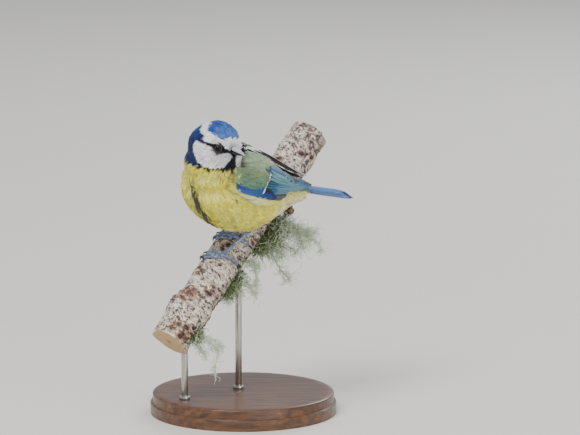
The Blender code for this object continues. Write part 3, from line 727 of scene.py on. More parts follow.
def feathered(points):
    """1 where feathers grow, 0 at the eyes, at the bill and under the closed wing."""
    head, body = in_head(points), in_body(points)
    grow = np.ones(len(points))
    for side in (1, -1):
        away = head - np.array([EYE_PLACE[0], side * EYE_PLACE[1], EYE_PLACE[2]])
        axis = unit([0.6, 0.78 * side, 0.15])
        off = np.linalg.norm(away - (away @ axis)[:, None] * axis, axis=1)
        grow *= 1 - (off < 2.0) * (away @ axis > -1.2)
    grow *= 1 - (head[:, 0] > 12.2) * (np.abs(head[:, 1]) < 1.5) * (head[:, 2] > -1.1) * (head[:, 2] < 1.7)
    turn, f = turn_of(body), body[:, 0]
    high = 56 - 18 * np.clip((f - 3) / 13, 0, 1)
    shut = (turn > 11) * (turn < high) * (f < 15.5) * (f > -10) * (head[:, 2] < -11)
    return grow * (1 - shut)


# %% One tuft, many times
RINGS = ((0.0, 0.6, -0.1), (0.3, 1.0, 0.6), (0.7, 0.66, 0.95))  # along, width, height
TUFT_TIP = (1.0, 0.0, 1.0)


def tuft_faces():
    """Triangles of one blade: three rings of three points, and its tip."""
    made = [(0, 2, 1)]
    for i in (0, 3):
        for a, b in ((0, 2), (2, 1), (1, 0)):
            made += [(i + a, i + 3 + a, i + 3 + b), (i + a, i + 3 + b, i + b)]
    return np.array(made + [(6, 9, 8), (8, 9, 7), (7, 9, 6)])


def new_mesh(name, points, faces, finish):
    mesh = bpy.data.meshes.new(name)
    mesh.vertices.add(len(points))
    mesh.vertices.foreach_set("co", np.asarray(points, np.float32).ravel())
    mesh.loops.add(faces.size)
    mesh.loops.foreach_set("vertex_index", np.asarray(faces, np.int32).ravel())
    mesh.polygons.add(len(faces))
    mesh.polygons.foreach_set("loop_start", np.arange(0, faces.size, faces.shape[1], dtype=np.int32))
    mesh.update(calc_edges=True)
    mesh.materials.append(finish)
    mesh.shade_smooth()
    made = bpy.data.objects.new(name, mesh)
    bpy.context.scene.collection.objects.link(made)
    return made


def lay_out(obj, centres, patch):
    """The map for baking: each tuft is a small patch at its root's place on the unwrapped skin."""
    layer = obj.data.uv_layers.new(name="OFBake")
    count = len(centres)
    shape = np.array([(a, b) for b in (-0.5, 0.0, 0.3) for a in (-0.5, 0.5, 0.0)] + [(0, 0.5)]) * patch
    uv = (centres[:, None, :] + shape[None]).reshape(count * 10, 2)
    index = np.empty(len(obj.data.loops), np.int32)
    obj.data.loops.foreach_get("vertex_index", index)
    layer.data.foreach_set("uv", uv[index].astype(np.float32).ravel())


def unwrap_head(points):
    head = in_head(points)
    round_it = np.arctan2(head[:, 1], head[:, 2]) / (2 * math.pi) + 0.5
    back = np.arccos(np.clip(head[:, 0] / np.linalg.norm(head, axis=1), -1, 1)) / math.pi
    return np.clip(np.stack([round_it, back], 1), 0.003, 0.997)


def unwrap_body(points):
    body = in_body(points)
    round_it = np.arctan2(body[:, 1], body[:, 2] - 1) / (2 * math.pi) + 0.5
    return np.clip(np.stack([round_it, (body[:, 0] + 42) / 76], 1), 0.003, 0.997)


print("one tuft has", len(tuft_faces()), "triangles")


# %% Growing a piece of the coat
def gathered(points, size, draw):
    """For each tuft, the one that it gathers round: about size tufts make up one feather."""
    centres = draw.choice(len(points), max(1, len(points) // size), replace=False)
    best = np.empty(len(points), int)
    for start in range(0, len(points), 1000):
        away = points[start : start + 1000, None] - points[centres][None]
        best[start : start + 1000] = centres[(away**2).sum(2).argmin(1)]
    return best


def grow_coat(name, slot, points, normals, length, width, curve, seed, rise=None, flow=None, shade=None, loose=0.35):
    """Tufts at roots: their length and width in mm, and the radius in mm that they bend round.

    rise is how far they stand off their roots in mm, flow the way they point, shade the function that
    colours them, and loose how far the tufts of one feather draw together and part from the next.
    """
    draw = np.random.default_rng(seed)
    count = len(points)
    own = gathered(points, 7, draw)
    feather = draw.normal(0, 1, (count, 3))[own]
    flow = lie(points, normals) if flow is None else flow
    side = np.cross(normals, flow)
    stray = draw.normal(0, 0.1, count) + 0.1 * feather[:, 0] + 0.1 * wobble(points, 3.5, seed)
    flow = unit(flow + side * stray[:, None])
    side = np.cross(normals, flow)
    length = length * draw.uniform(0.75, 1.15, count) * (1 + 0.1 * feather[:, 1])
    width = width * draw.uniform(0.75, 1.25, count)
    rise = coat_depth(points) if rise is None else rise
    rise = rise * draw.uniform(0.85, 1.0, count) * (1 + 0.25 * loose * np.clip(feather[:, 2], -1.5, 1.5))
    made = np.empty((count, 10, 3))
    stems = []
    for along, wide, high in (*RINGS, TUFT_TIP):
        ahead = length * along
        stems.append(points + (flow * ahead[:, None] + normals * (rise * high - ahead**2 / (2 * curve))[:, None]) * MM)
    for ring, (along, wide, high) in enumerate((*RINGS, TUFT_TIP)):
        pull = loose * along**1.3
        middle = stems[ring] * (1 - pull) + stems[ring][own] * pull
        if ring == 3:
            made[:, 9] = middle
            break
        half = (width * wide / 2)[:, None] * MM
        made[:, ring * 3] = middle - side * half
        made[:, ring * 3 + 1] = middle + side * half
        made[:, ring * 3 + 2] = middle + normals * half * 0.55
    faces = (np.arange(count)[:, None, None] * 10 + tuft_faces()[None]).reshape(-1, 3)
    coat = new_mesh(name, made.reshape(-1, 3), faces, down)
    tinge = (shade or plumage_colour)(stems[2])
    tinge = tinge * np.exp(draw.normal(0, 0.08, count) + 0.25 * loose * draw.normal(0, 1, count)[own])[:, None]
    # each tuft runs from a touch brighter than its colour at the tip to 0.45 at the root: partly the feathers' grey
    # bases, partly painted shade down in the coat
    tone = np.array([0.45] * 3 + [0.8, 0.8, 0.85] + [0.98, 0.98, 1.02, 1.06])
    paint(coat, (tinge[:, None, :] * tone[None, :, None]).reshape(-1, 3))
    lean = np.zeros((count, 10, 3))
    for k, across in enumerate((-0.35, 0.35, 0.0) * 3 + (0.0,)):
        lean[:, k] = unit(normals + side * (across + 0.1 * feather[:, 0])[:, None] - flow * 0.1 * feather[:, 2:3])
    coat.data.normals_split_custom_set_from_vertices(lean.reshape(-1, 3).astype(np.float32))
    lay_out(coat, (unwrap_head if "head" in name else unwrap_body)(points), 0.003)
    return mount(coat, slot)


def head_share(points):
    return step(in_head(points)[:, 2], -12.5, -11.5)


# %% Feathers of the head
HEAD_TUFTS, BODY_TUFTS, REAR_TUFTS, SHOULDER_TUFTS, EDGE_TUFTS = 9000, 10500, 6000, 3500, 1300


def size_on_head(points):
    """Tiny round the bill and eyes, longer towards the nape and throat."""
    small = np.maximum(near(points, BILL_AT, 11), 0.8 * np.maximum(*(near(points, eye, 6) for eye in EYES)))
    return 1 - 0.68 * small


for number, (low, high) in enumerate(((-12.0, -5.5), (-5.5, 1.5), (1.5, 20.0)), 1):

    def crowd(points):
        u = in_head(points)[:, 2]
        return head_share(points) * feathered(points) * (u > low) * (u <= high) / size_on_head(points)

    points, normals = scattered(HEAD_TUFTS, crowd, 20 + number)
    size = size_on_head(points)
    grow_coat(
        f"head_coat_{number}", "white_plumage", points, normals, 2.6 * size, 0.3 * size, 14.0, 30 + number, loose=0.25
    )

# %% Feathers of the body
for number, (low, high) in enumerate(((19.0, 40.0), (8.0, 19.0), (-3.0, 8.0), (-16.0, -3.0), (-45.0, -16.0)), 1):

    def crowd(points):
        f = in_body(points)[:, 0]
        return (1 - head_share(points)) * feathered(points) * (f > low) * (f <= high)

    points, normals = scattered(BODY_TUFTS if number < 5 else REAR_TUFTS, crowd, 40 + number)
    body = in_body(points)
    thigh = np.maximum(near(points, ANKLES[0], 12), near(points, ANKLES[1], 12))
    flank = step(-turn_of(body), -5, 20) * step(-body[:, 0], -14, 0)
    size = (1 - 0.5 * thigh) * (1 - 0.4 * step(-body[:, 0], 26, 38))
    length, width = (4.8 + 1.6 * flank) * size, (0.36 + 0.1 * flank) * size
    grow_coat(f"body_coat_{number}", "yellow_plumage", points, normals, length, width, 19.0, 50 + number, loose=0.5)

# %% [markdown]
# ## Flight feathers
#
# The folded wing is a stack of feathers, laid like roof tiles: each row covers the roots of the next, and
# each upper feather covers the inner web of the one below, so that only its coloured outer web shows. A
# feather is a thin closed sheet with a raised shaft, and it is laid over the torso's curve so that it hugs it.

# %% A finish for vanes
def vane_finish(name, roughness):
    """Each vane's own colour, with barbs that slant from the shaft, in colour and in relief."""
    finish, nodes, links, shader = new_finish(name, roughness)
    own = nodes.new("ShaderNodeAttribute")
    own.attribute_name = "plumage"
    place = nodes.new("ShaderNodeUVMap")
    place.uv_map = "vane"
    split = nodes.new("ShaderNodeSeparateXYZ")
    links.new(place.outputs["UV"], split.inputs["Vector"])

    def sum_of(way, *values):
        made = nodes.new("ShaderNodeMath")
        made.operation = way
        for socket, value in zip(made.inputs, values):
            if isinstance(value, bpy.types.NodeSocket):
                links.new(value, socket)
            else:
                socket.default_value = value
        return made.outputs[0]

    across, along = split.outputs["X"], split.outputs["Y"]
    slant = sum_of("SUBTRACT", along, sum_of("MULTIPLY", sum_of("ABSOLUTE", across), 1.1))
    wave = sum_of("SINE", sum_of("MULTIPLY", slant, 16.0))
    barbs = add_ramp(nodes, links, sum_of("MULTIPLY_ADD", wave, 0.5, 0.5), ((0, (0.8,) * 3), (1, (1.12,) * 3)))
    shade = add_mix(nodes, links, "MULTIPLY", 1.0, own.outputs["Color"], barbs)
    uneven = add_noise(nodes, links, nodes.new("ShaderNodeTexCoord").outputs["Object"], 700, 3)
    soft = add_ramp(nodes, links, uneven, ((0.3, (0.85,) * 3), (0.7, (1.1,) * 3)))
    links.new(add_mix(nodes, links, "MULTIPLY", 1.0, shade, soft), shader.inputs["Base Color"])
    add_bump(nodes, links, shader, wave, 0.25, 0.00005)
    shader.inputs["Specular IOR Level"].default_value = 0.35
    return finish


vane = vane_finish("vane", 0.55)

FEATHER_SHADES = {
    name: np.array(colour(*chart))
    for name, chart in {
        "teal": (44, 104, 134),
        "light_teal": (98, 148, 160),
        "slate": (30, 44, 62),
        "quill": (20, 24, 34),
        "pale_edge": (120, 166, 176),
        "dusk": (104, 96, 104),
        "blush": (186, 174, 184),
        "cobalt": (26, 82, 156),
        "deep": (16, 44, 104),
        "snow": (248, 249, 252),
        "tail": (40, 112, 196),
        "tail_dark": (18, 46, 108),
        "under": (120, 126, 138),
    }.items()
}


# %% The shape of one feather
LONG, WIDE = 16, 7  # points along and across a vane


def outline_of(share, roundness):
    """Half width along a feather: narrow at its root, full, and rounded at its tip."""
    root = 0.45 + 0.55 * np.clip(share / 0.3, 0, 1) ** 0.7
    end = np.clip((share - roundness) / (1 - roundness), 0, 1)
    return root * np.sqrt(np.clip(1 - end**2.2, 0.004, 1))


def vane_grid(shaft):
    """Shares along and across, denser at the tip, with one line of points on the shaft."""
    along = 1 - (1 - np.linspace(0, 1, LONG)) ** 1.25
    across = np.concatenate([np.linspace(-1, shaft, WIDE // 2 + 1), np.linspace(shaft, 1, WIDE // 2 + 1)[1:]])
    return np.meshgrid(along, across, indexing="ij")


def vane_faces():
    """Quads of the upper sheet, the under sheet, and the rim between them."""
    top = np.arange(LONG * WIDE).reshape(LONG, WIDE)
    under = top + LONG * WIDE
    quads = [(top[:-1, :-1], top[1:, :-1], top[1:, 1:], top[:-1, 1:])]
    quads += [(under[:-1, :-1], under[:-1, 1:], under[1:, 1:], under[1:, :-1])]
    edge = np.concatenate([top[0, :-1], top[:-1, -1], top[-1, :0:-1], top[:0:-1, 0]])
    after = np.roll(edge, -1)
    quads += [(edge, after, after + LONG * WIDE, edge + LONG * WIDE)]
    return np.concatenate([np.stack([a.ravel() for a in quad], -1) for quad in quads])


def feather_sheet(name, sheets, colours, width, length, cell_of):
    """Joins feathers, each an upper and an under grid of points, into one mesh with its two maps."""
    count = len(sheets)
    points = np.stack(sheets).reshape(count, -1, 3)
    faces = (np.arange(count)[:, None, None] * 2 * LONG * WIDE + vane_faces()[None]).reshape(-1, 4)
    made = new_mesh(name, points.reshape(-1, 3), faces, vane)
    paint(made, np.stack(colours).reshape(-1, 3))
    index = np.empty(len(made.data.loops), np.int32)
    made.data.loops.foreach_get("vertex_index", index)
    s, x = vane_grid(0.0)
    bake, barbs = [], []
    for i in range(count):
        column, row, columns, rows = cell_of(i)
        for half in (0, 1):
            u = (column + 0.06 + 0.88 * (x + 1) / 2) / columns
            v = (row + half * 0.5 + 0.03 + 0.44 * s) / rows
            bake.append(np.stack([u, v], -1).reshape(-1, 2))
            barbs.append(np.stack([x * width[i] / 2, s * length[i]], -1).reshape(-1, 2))
    bake, barbs = np.concatenate(bake), np.concatenate(barbs)
    loops_per = len(vane_faces()) * 4
    rim = 8 * (LONG - 1) * (WIDE - 1)
    flat = index.reshape(count, loops_per).copy()
    block = LONG * WIDE
    flat[:, rim:] = np.where(flat[:, rim:] % (2 * block) >= block, flat[:, rim:] - block, flat[:, rim:])
    for title, values in (("OFBake", bake[flat.ravel()]), ("vane", barbs[index])):
        made.data.uv_layers.new(name=title).data.foreach_set("uv", values.astype(np.float32).ravel())
    made.data.uv_layers["OFBake"].active_render = True
    return made


print("a vane has", len(vane_faces()) * 2, "triangles")


# %% Laying a feather on the closed wing
def wing_feather(side, root, tip, width, lift, tilt=0.3, shaft=-0.2, bow=0.0, roundness=0.72, thick=0.11):
    """The upper and under sheets of a vane from a root to a tip, each (place, turn), over the torso."""
    s, x = vane_grid(shaft)
    along = root[0] + (tip[0] - root[0]) * s
    turn = root[1] + (tip[1] - root[1]) * s + bow * np.sin(math.pi * s)
    shape = outline_at(along)
    radius = np.maximum(3.0, (shape[..., 0] + shape[..., 1]) / 2)
    ahead, aside = tip[0] - root[0], radius * math.radians(tip[1] - root[1])
    size = np.hypot(ahead, aside)
    reach = x * width / 2 * outline_of(s, roundness)
    along = along + reach * aside / size
    turn = turn - np.degrees(reach * ahead / size / radius)
    high = lift - tilt * x * np.clip(s * 2, 0.3, 1) - 0.22 * (x - shaft) ** 2
    high = high + 0.05 * np.exp(-(((x - shaft) / 0.12) ** 2))
    slim = thick * (1 - 0.6 * np.abs(x) ** 3)
    return np.stack([over_torso(side, along, turn, high), over_torso(side, along, turn, high - slim)])


def shade_of(kind, share, x, shaft, draw):
    """Colours over one vane: outer web, inner web, shaft, edge and tip."""
    outer, inner, edge, tip, from_tip, rim = kind
    pick_shade = FEATHER_SHADES.__getitem__
    made = np.where((x < shaft)[..., None], pick_shade(outer), pick_shade(inner))
    line = np.exp(-(((x - shaft) / 0.1) ** 2))[..., None]
    made = made * (1 - 0.75 * line) + pick_shade("quill") * 0.75 * line
    border = (step(-x, rim, 1.0) * step(share, 0.1, 0.3))[..., None]
    made = made * (1 - border) + pick_shade(edge) * border
    ending = step(share + 0.05 * np.abs(x), from_tip, from_tip + 0.06)[..., None]
    made = made * (1 - ending) + pick_shade(tip) * ending
    return made * draw.uniform(0.88, 1.1)


KINDS = {
    # outer web, inner web, outer edge, tip, where the tip's shade starts, where the edge's shade starts
    "low_primary": ("dusk", "dusk", "slate", "dusk", 0.95, 0.8),
    "primary": ("slate", "slate", "blush", "slate", 0.975, 0.55),
    "secondary": ("teal", "slate", "pale_edge", "teal", 0.98, 0.8),
    "tertial": ("light_teal", "teal", "pale_edge", "light_teal", 0.93, 0.8),
    "far_edge": ("blush", "blush", "slate", "blush", 0.95, 0.8),
    "primary_covert": ("deep", "slate", "cobalt", "deep", 0.9, 0.7),
    "greater_covert": ("cobalt", "deep", "teal", "snow", 0.9, 0.8),
    "median_covert": ("cobalt", "deep", "teal", "cobalt", 0.95, 0.8),
}
ROWS = (
    # name, count, roots from and to, tips from and to, width, height, bow: each row starts at the lowest
    ("low_primary", 2, (7, 14), (6, 17), (-13.5, 17), (-16, 21), 3.4, 1.6, 0.0),
    ("primary", 6, (8, 17), (2, 28), (-38.5, 57), (-35, 58), 3.6, 1.8, -5.0),
    ("secondary", 8, (2, 22), (-3, 47), (-35.5, 50), (-28, 52), 4.4, 2.1, -3.0),
    ("tertial", 3, (-1, 43), (-4, 54), (-22, 46), (-15, 51), 5.6, 2.6, 0.0),
    ("primary_covert", 5, (13, 15), (8, 22), (-8, 16), (-5, 21), 3.0, 2.3, 0.0),
    ("greater_covert", 8, (11, 22), (3, 52), (0.6, 22), (-3.0, 45), 4.2, 2.75, 0.0),
    ("median_covert", 6, (16, 17), (10, 38), (2.5, 18), (0, 42), 4.6, 3.0, 0.0),
)
# the long inner feathers of the right wing, whose edge shows over the back
FAR_EDGE = ("far_edge", 2, (-10, 63), (-11, 69), (-37, 66), (-39, 72), 4.4, 3.1, 0.0)


def wing(label, side):
    made = []
    rows = ROWS if side > 0 else (*ROWS, FAR_EDGE)
    for row, (name, count, root_low, root_high, tip_low, tip_high, width, height, bow) in enumerate(rows):
        draw = np.random.default_rng(70 + row + (10 if side < 0 else 0))
        shaft = -0.1 if "covert" in name else -0.25
        s, x = vane_grid(shaft)
        sheets, colours, widths, lengths = [], [], [], []
        for i in range(count):
            share = i / (count - 1)
            root = [a + (b - a) * share + draw.uniform(-0.3, 0.3) for a, b in zip(root_low, root_high)]
            tip = [a + (b - a) * share + draw.uniform(-0.4, 0.4) for a, b in zip(tip_low, tip_high)]
            wide = width * draw.uniform(0.96, 1.06)
            roundness = 0.86 if "primary" in name else 0.7
            lift = height + 0.3 * share
            sheets.append(wing_feather(side, root, tip, wide, lift, shaft=shaft, bow=bow, roundness=roundness))
            shade = shade_of(KINDS[name], s, x, shaft, draw)
            # the under sheet at 0.7 of the upper one is painted shade on the side that faces the body; the right wing's
            # long inner feathers show their under sheet, which keeps full colour
            colours.append(np.stack([shade, shade * (1.0 if name == "far_edge" else 0.7)]))
            widths.append(wide)
            lengths.append(abs(tip[0] - root[0]))
        made.append(
            feather_sheet(f"{label}_{name}s", sheets, colours, widths, lengths, lambda i, n=count: (i, 0, n, 1))
        )
    return made


for side, label in ((1, "wing_left"), (-1, "wing_right")):
    for piece in wing(label, side):
        if side < 0:
            piece.data.flip_normals()
        mount(piece, "wing_plumage", label)


# %% [markdown]
# ## Feathers over the wing
#
# A folded wing isn't laid on top of the bird like a lid. Soft green shoulder feathers hang over its upper
# half, as far as the white bar, and loose feathers of breast and flank lap over its front and lower edges.
# They are tufts of the coat, with their roots over the torso's outline instead of on the skin.

# %% Green shoulder feathers
GREEN_EDGE = ((-6, 34), (-3.4, 40), (1.1, 29), (6.5, 26), (11.6, 20), (16, 21))
BAR = ((20, 2.0), (30.5, 0.4), (38.8, -1.4), (45, -2.0), (49, 0.6), (56, -3.0), (70, -6.0))


def shoulder_colour(points):
    body = in_body(points)
    turn, rough = turn_of(body), wobble(points, 2.2, 15)
    made = np.tile(SHADES["moss"], (len(points), 1))
    made = blend(made, "sage", step(turn + 3 * rough, 34, 62))
    made = blend(made, "teal_green", (1 - step(turn + 3 * rough, 22, 44)) * 0.8)
    return blend(made, "lemon_and_highlight", step(body[:, 0] + rough, 13, 17) * 0.3)


def shoulder(label, side, count, seed):
    """Soft green feathers that hang over the wing's upper half, back to the white bar."""
    draw = np.random.default_rng(seed)
    f, turn = draw.uniform(-8, 18, count * 3), draw.uniform(16, 72, count * 3)
    low, rear = along_line(f, GREEN_EDGE), along_line(turn, BAR)
    behind_cheek = (side > 0) & (f > 13) & (turn > 44)
    inside = (turn > low + draw.normal(0, 0.8, len(f))) & (f > rear + 3.6) & ~behind_cheek
    f, turn, rear = f[inside][:count], turn[inside][:count], rear[inside][:count]
    points = over_torso(side, f, turn, 2.2)
    normals = unit(over_torso(side, f, turn, 3.2) - points)
    flow = unit(over_torso(side, f - 1, turn - 0.3, 2.2) - points)
    rise = 1.5 * step(np.minimum(f - rear, 18.5 - f), 0, 5) + 0.2
    front = step(f, 11, 16)
    grow_coat(
        f"{label}_scapulars", "wing_plumage", points, normals, 4.6 - 1.6 * front, np.full(len(f), 0.4), 24.0, seed,
        rise=rise, flow=flow, shade=shoulder_colour, loose=0.3,
    )


# %% Loose feathers over the wing's edges
LOW_EDGE = ((-8, 11), (-5, 9.6), (2.4, 8.2), (6.5, 8.6), (13, 13.4), (20, 16))


def edge_colour(points):
    body = in_body(points)
    return blend(body_colour(points), "cream", step(-body[:, 0], -13, -9) * step(body[:, 0], -2, 2) * 0.85)


def over_wing_edge(label, side, count, seed):
    """Loose feathers of breast and flank that lap over the wing's front and lower edges."""
    draw = np.random.default_rng(seed)
    f, turn = draw.uniform(-4, 19, count * 8), draw.uniform(-2, 44, count * 8)
    low = along_line(f, LOW_EDGE)
    below = (turn < low - 1) & (turn > low - 8) & (f < 16)
    before = (f > 15.6) & (turn > 8) & ((side < 0) | (turn < 36))
    inside = below | before
    f, turn = f[inside][:count], turn[inside][:count]
    points = over_torso(side, f, turn, -0.6)
    normals = unit(over_torso(side, f, turn, 0.4) - points)
    flow = unit(over_torso(side, f - 1, turn + 1.2 * (turn < 14), -0.6) - points)
    grow_coat(
        f"{label}_edge_coat", "yellow_plumage", points, normals, np.full(len(f), 5.2), np.full(len(f), 0.4), 40.0, seed,
        rise=np.full(len(f), 2.9), flow=flow, shade=edge_colour, loose=0.5,
    )


over_wing_edge("body_left", 1, EDGE_TUFTS, 63)
over_wing_edge("body_right", -1, EDGE_TUFTS, 64)
shoulder("wing_left", 1, SHOULDER_TUFTS, 61)
shoulder("wing_right", -1, SHOULDER_TUFTS, 62)

# %% [markdown]
# ## Tail
#
# A blue tit's tail has six pairs of feathers. Shut, they lie nearly on top of one another, the middle pair
# uppermost and a little shorter, so that from the side the tail is a narrow blade.

# %% Twelve tail feathers
PAIRS, TAIL_LENGTH = 6, 28.5
sheets, colours, widths, lengths = [], [], [], []
draw = np.random.default_rng(90)
for pair in range(PAIRS):
    for side in (1, -1):
        s, x = vane_grid(0.15 * side)
        spread = math.radians(0.4 + 0.55 * pair) * side
        length = TAIL_LENGTH - 0.95 * (PAIRS - 1 - pair) + draw.uniform(-0.15, 0.15)
        layer = 1.6 - 0.42 * pair
        wide = 4.4
        half = x * wide / 2 * outline_of(s, 0.86)
        slant = 1.4 * side * x * step(s, 0.8, 1.0)
        forward = -37.5 - length * s + slant
        left = side * (0.3 + 0.22 * pair) + math.tan(spread) * length * s + half
        height = 6.4 + 2.2 * s + layer - 0.35 * s * (layer - 0.5) - 0.12 * x * side - 0.1 * x**2
        ridge = 0.06 * np.exp(-(((x - 0.15 * side) / 0.12) ** 2))
        sheets.append(
            np.stack([from_body(np.stack([forward, left, height + up], -1)) for up in (0.06 + ridge, -0.05 + 0 * x)])
        )
        out = x * side
        top = np.where((out > 0.15)[..., None], FEATHER_SHADES["tail"], FEATHER_SHADES["tail_dark"])
        top = top if pair else np.broadcast_to(FEATHER_SHADES["tail"], top.shape)
        line = np.exp(-(((x - 0.15 * side) / 0.1) ** 2))[..., None]
        top = top * (1 - 0.8 * line) + FEATHER_SHADES["quill"] * 0.8 * line
        edge = step(out, 0.7, 1.0)[..., None] * (1.0 if pair == 5 else 0.25)
        top = top * (1 - edge) + FEATHER_SHADES["snow"] * edge
        end = step(s, 0.93, 1.0)[..., None] * 0.6
        top = top * (1 - end) + FEATHER_SHADES["tail_dark"] * end
        under = FEATHER_SHADES["under"] * (1 - 0.5 * line) + FEATHER_SHADES["slate"] * 0.5 * line
        colours.append(np.stack([top * draw.uniform(0.9, 1.08), under + 0 * top]))
        widths.append(wide)
        lengths.append(length)
tail = feather_sheet("tail_feathers", sheets, colours, widths, lengths, lambda i: (i, 0, 12, 1))
tail.data.flip_normals()
mount(tail, "tail_plumage", "tail")
print("tail feathers:", len(sheets))

# %% [markdown]
# ## Bill and eyes
#
# The bill is a short stout cone of horn in two halves. The solids' shape is right, so the halves are only
# smoothed and given a horn finish. The eyes are glass, as a taxidermist sets them: dark brown almost to
# black, each in a bare rim of lid.

# %% Bill
def horn_finish(name, top, under):
    finish, nodes, links, shader = new_finish(name, 0.45)
    place = nodes.new("ShaderNodeTexCoord").outputs["Object"]
    streak = add_noise(nodes, links, place, 1200, 3)
    links.new(add_ramp(nodes, links, streak, ((0.35, under), (0.65, top))), shader.inputs["Base Color"])
    add_bump(nodes, links, shader, streak, 0.2, 0.00005)
    return finish


# the upper half's pale grey is its grey horn lightened by a painted reflection of the sky on its wet top; the lower
# half's near black is its dark horn deepened by painted shade under the bill
for node, top, under in (
    ("bill_upper", colour(172, 180, 178), colour(148, 156, 156)),
    ("bill_lower", colour(34, 34, 42), colour(20, 20, 28)),
):
    half = copy_of(node, node + "_horn")
    round_off = half.modifiers.new("Round", "SUBSURF")
    round_off.levels = 2
    apply_modifiers(half)
    settle(half, node + "_horn", horn_finish(node + "_horn", top, under))
    half.data.shade_smooth()
    mount(half, "bill", node)


# %% Eyes
def eye_finish(name, centre, axis):
    """Black pupil and dark brown iris by the angle from the line of sight, under a wet surface."""
    finish, nodes, links, shader = new_finish(name, 0.08)
    shader.inputs["Specular IOR Level"].default_value = 0.12
    place = nodes.new("ShaderNodeTexCoord").outputs["Object"]
    offset = nodes.new("ShaderNodeVectorMath")
    offset.operation = "SUBTRACT"
    links.new(place, offset.inputs[0])
    offset.inputs[1].default_value = centre
    facing = nodes.new("ShaderNodeVectorMath")
    facing.operation = "NORMALIZE"
    links.new(offset.outputs[0], facing.inputs[0])
    angle = nodes.new("ShaderNodeVectorMath")
    angle.operation = "DOT_PRODUCT"
    links.new(facing.outputs[0], angle.inputs[0])
    angle.inputs[1].default_value = axis
    brown, black = colour(44, 20, 16), colour(5, 4, 5)
    stops = ((0.0, black), (0.72, black), (0.76, brown), (0.87, brown), (0.9, black))
    links.new(add_ramp(nodes, links, angle.outputs["Value"], stops), shader.inputs["Base Color"])
    shader.inputs["Coat Weight"].default_value = 0.12
    shader.inputs["Coat Roughness"].default_value = 0.02
    return finish


lid_finish, nodes, links, shader = new_finish("lid", 0.6)
shader.inputs["Base Color"].default_value = (*colour(30, 30, 36), 1)
for side, label in ((1, "left"), (-1, "right")):
    centre = from_head([EYE_PLACE[0], side * EYE_PLACE[1], EYE_PLACE[2]])
    axis = unit([0.6, 0.78 * side, 0.15]) @ HEAD
    deselect()
    bpy.ops.mesh.primitive_uv_sphere_add(segments=48, ring_count=24, radius=EYE_RADIUS * MM, location=centre)
    eye = bpy.context.object
    settle(eye, "eye_" + label, eye_finish("eye_" + label, tuple(centre), tuple(axis)))
    eye.data.shade_smooth()
    mount(eye, "eye", "eye_" + label)
    deselect()
    at = centre + axis * 1.42 * MM
    tilt = Vector(axis).to_track_quat("Z", "Y").to_euler()
    bpy.ops.mesh.primitive_torus_add(
        major_radius=1.62 * MM, minor_radius=0.3 * MM, major_segments=48, minor_segments=12, location=at, rotation=tilt
    )
    lid = bpy.context.object
    settle(lid, "lid_" + label, lid_finish)
    lid.data.shade_smooth()
    mount(lid, "white_plumage", "head")

# %% [markdown]
# ## Legs and feet
#
# Perching birds grip with three toes forward and one back. Tarsus and toes are covered in horny scales, so
# each is a tube whose radius steps at every scale and swells at every joint. Each toe runs out in a claw.


# %% Tubes
def new_tube(name, path, radii, finish, sides=10):
    """A closed tube through points in metres, swept as a curve and turned into a mesh."""
    line = bpy.data.curves.new(name, "CURVE")
    line.dimensions, line.bevel_depth, line.bevel_resolution = "3D", 1.0, max(0, sides // 4 - 1)
    line.use_fill_caps = True
    thread = line.splines.new("POLY")
    thread.points.add(len(path) - 1)
    for point, place, radius in zip(thread.points, path, radii):
        point.co, point.radius = (*place, 1), radius
    made = bpy.data.objects.new(name, line)
    bpy.context.scene.collection.objects.link(made)
    pick(made)
    bpy.ops.object.convert(target="MESH")
    made = bpy.context.object
    settle(made, name, finish)
    made.data.shade_smooth()
    return made


def join(name, pieces):
    deselect()
    for piece in pieces:
        piece.select_set(True)
    bpy.context.view_layer.objects.active = pieces[0]
    bpy.ops.object.join()
    pieces[0].name = name
    return pieces[0]


def scaly_finish():
    finish, nodes, links, shader = new_finish("scaly_skin", 0.42)
    place = nodes.new("ShaderNodeTexCoord").outputs["Object"]
    patch = add_noise(nodes, links, place, 900, 4)
    stops = ((0.3, colour(74, 84, 108)), (0.5, colour(110, 124, 152)), (0.72, colour(164, 180, 208)))
    links.new(add_ramp(nodes, links, patch, stops), shader.inputs["Base Color"])
    add_bump(nodes, links, shader, patch, 0.2, 0.00005)
    return finish


scaly = scaly_finish()
claw_finish, nodes, links, shader = new_finish("claw", 0.3)
shader.inputs["Base Color"].default_value = (*colour(44, 44, 54), 1)

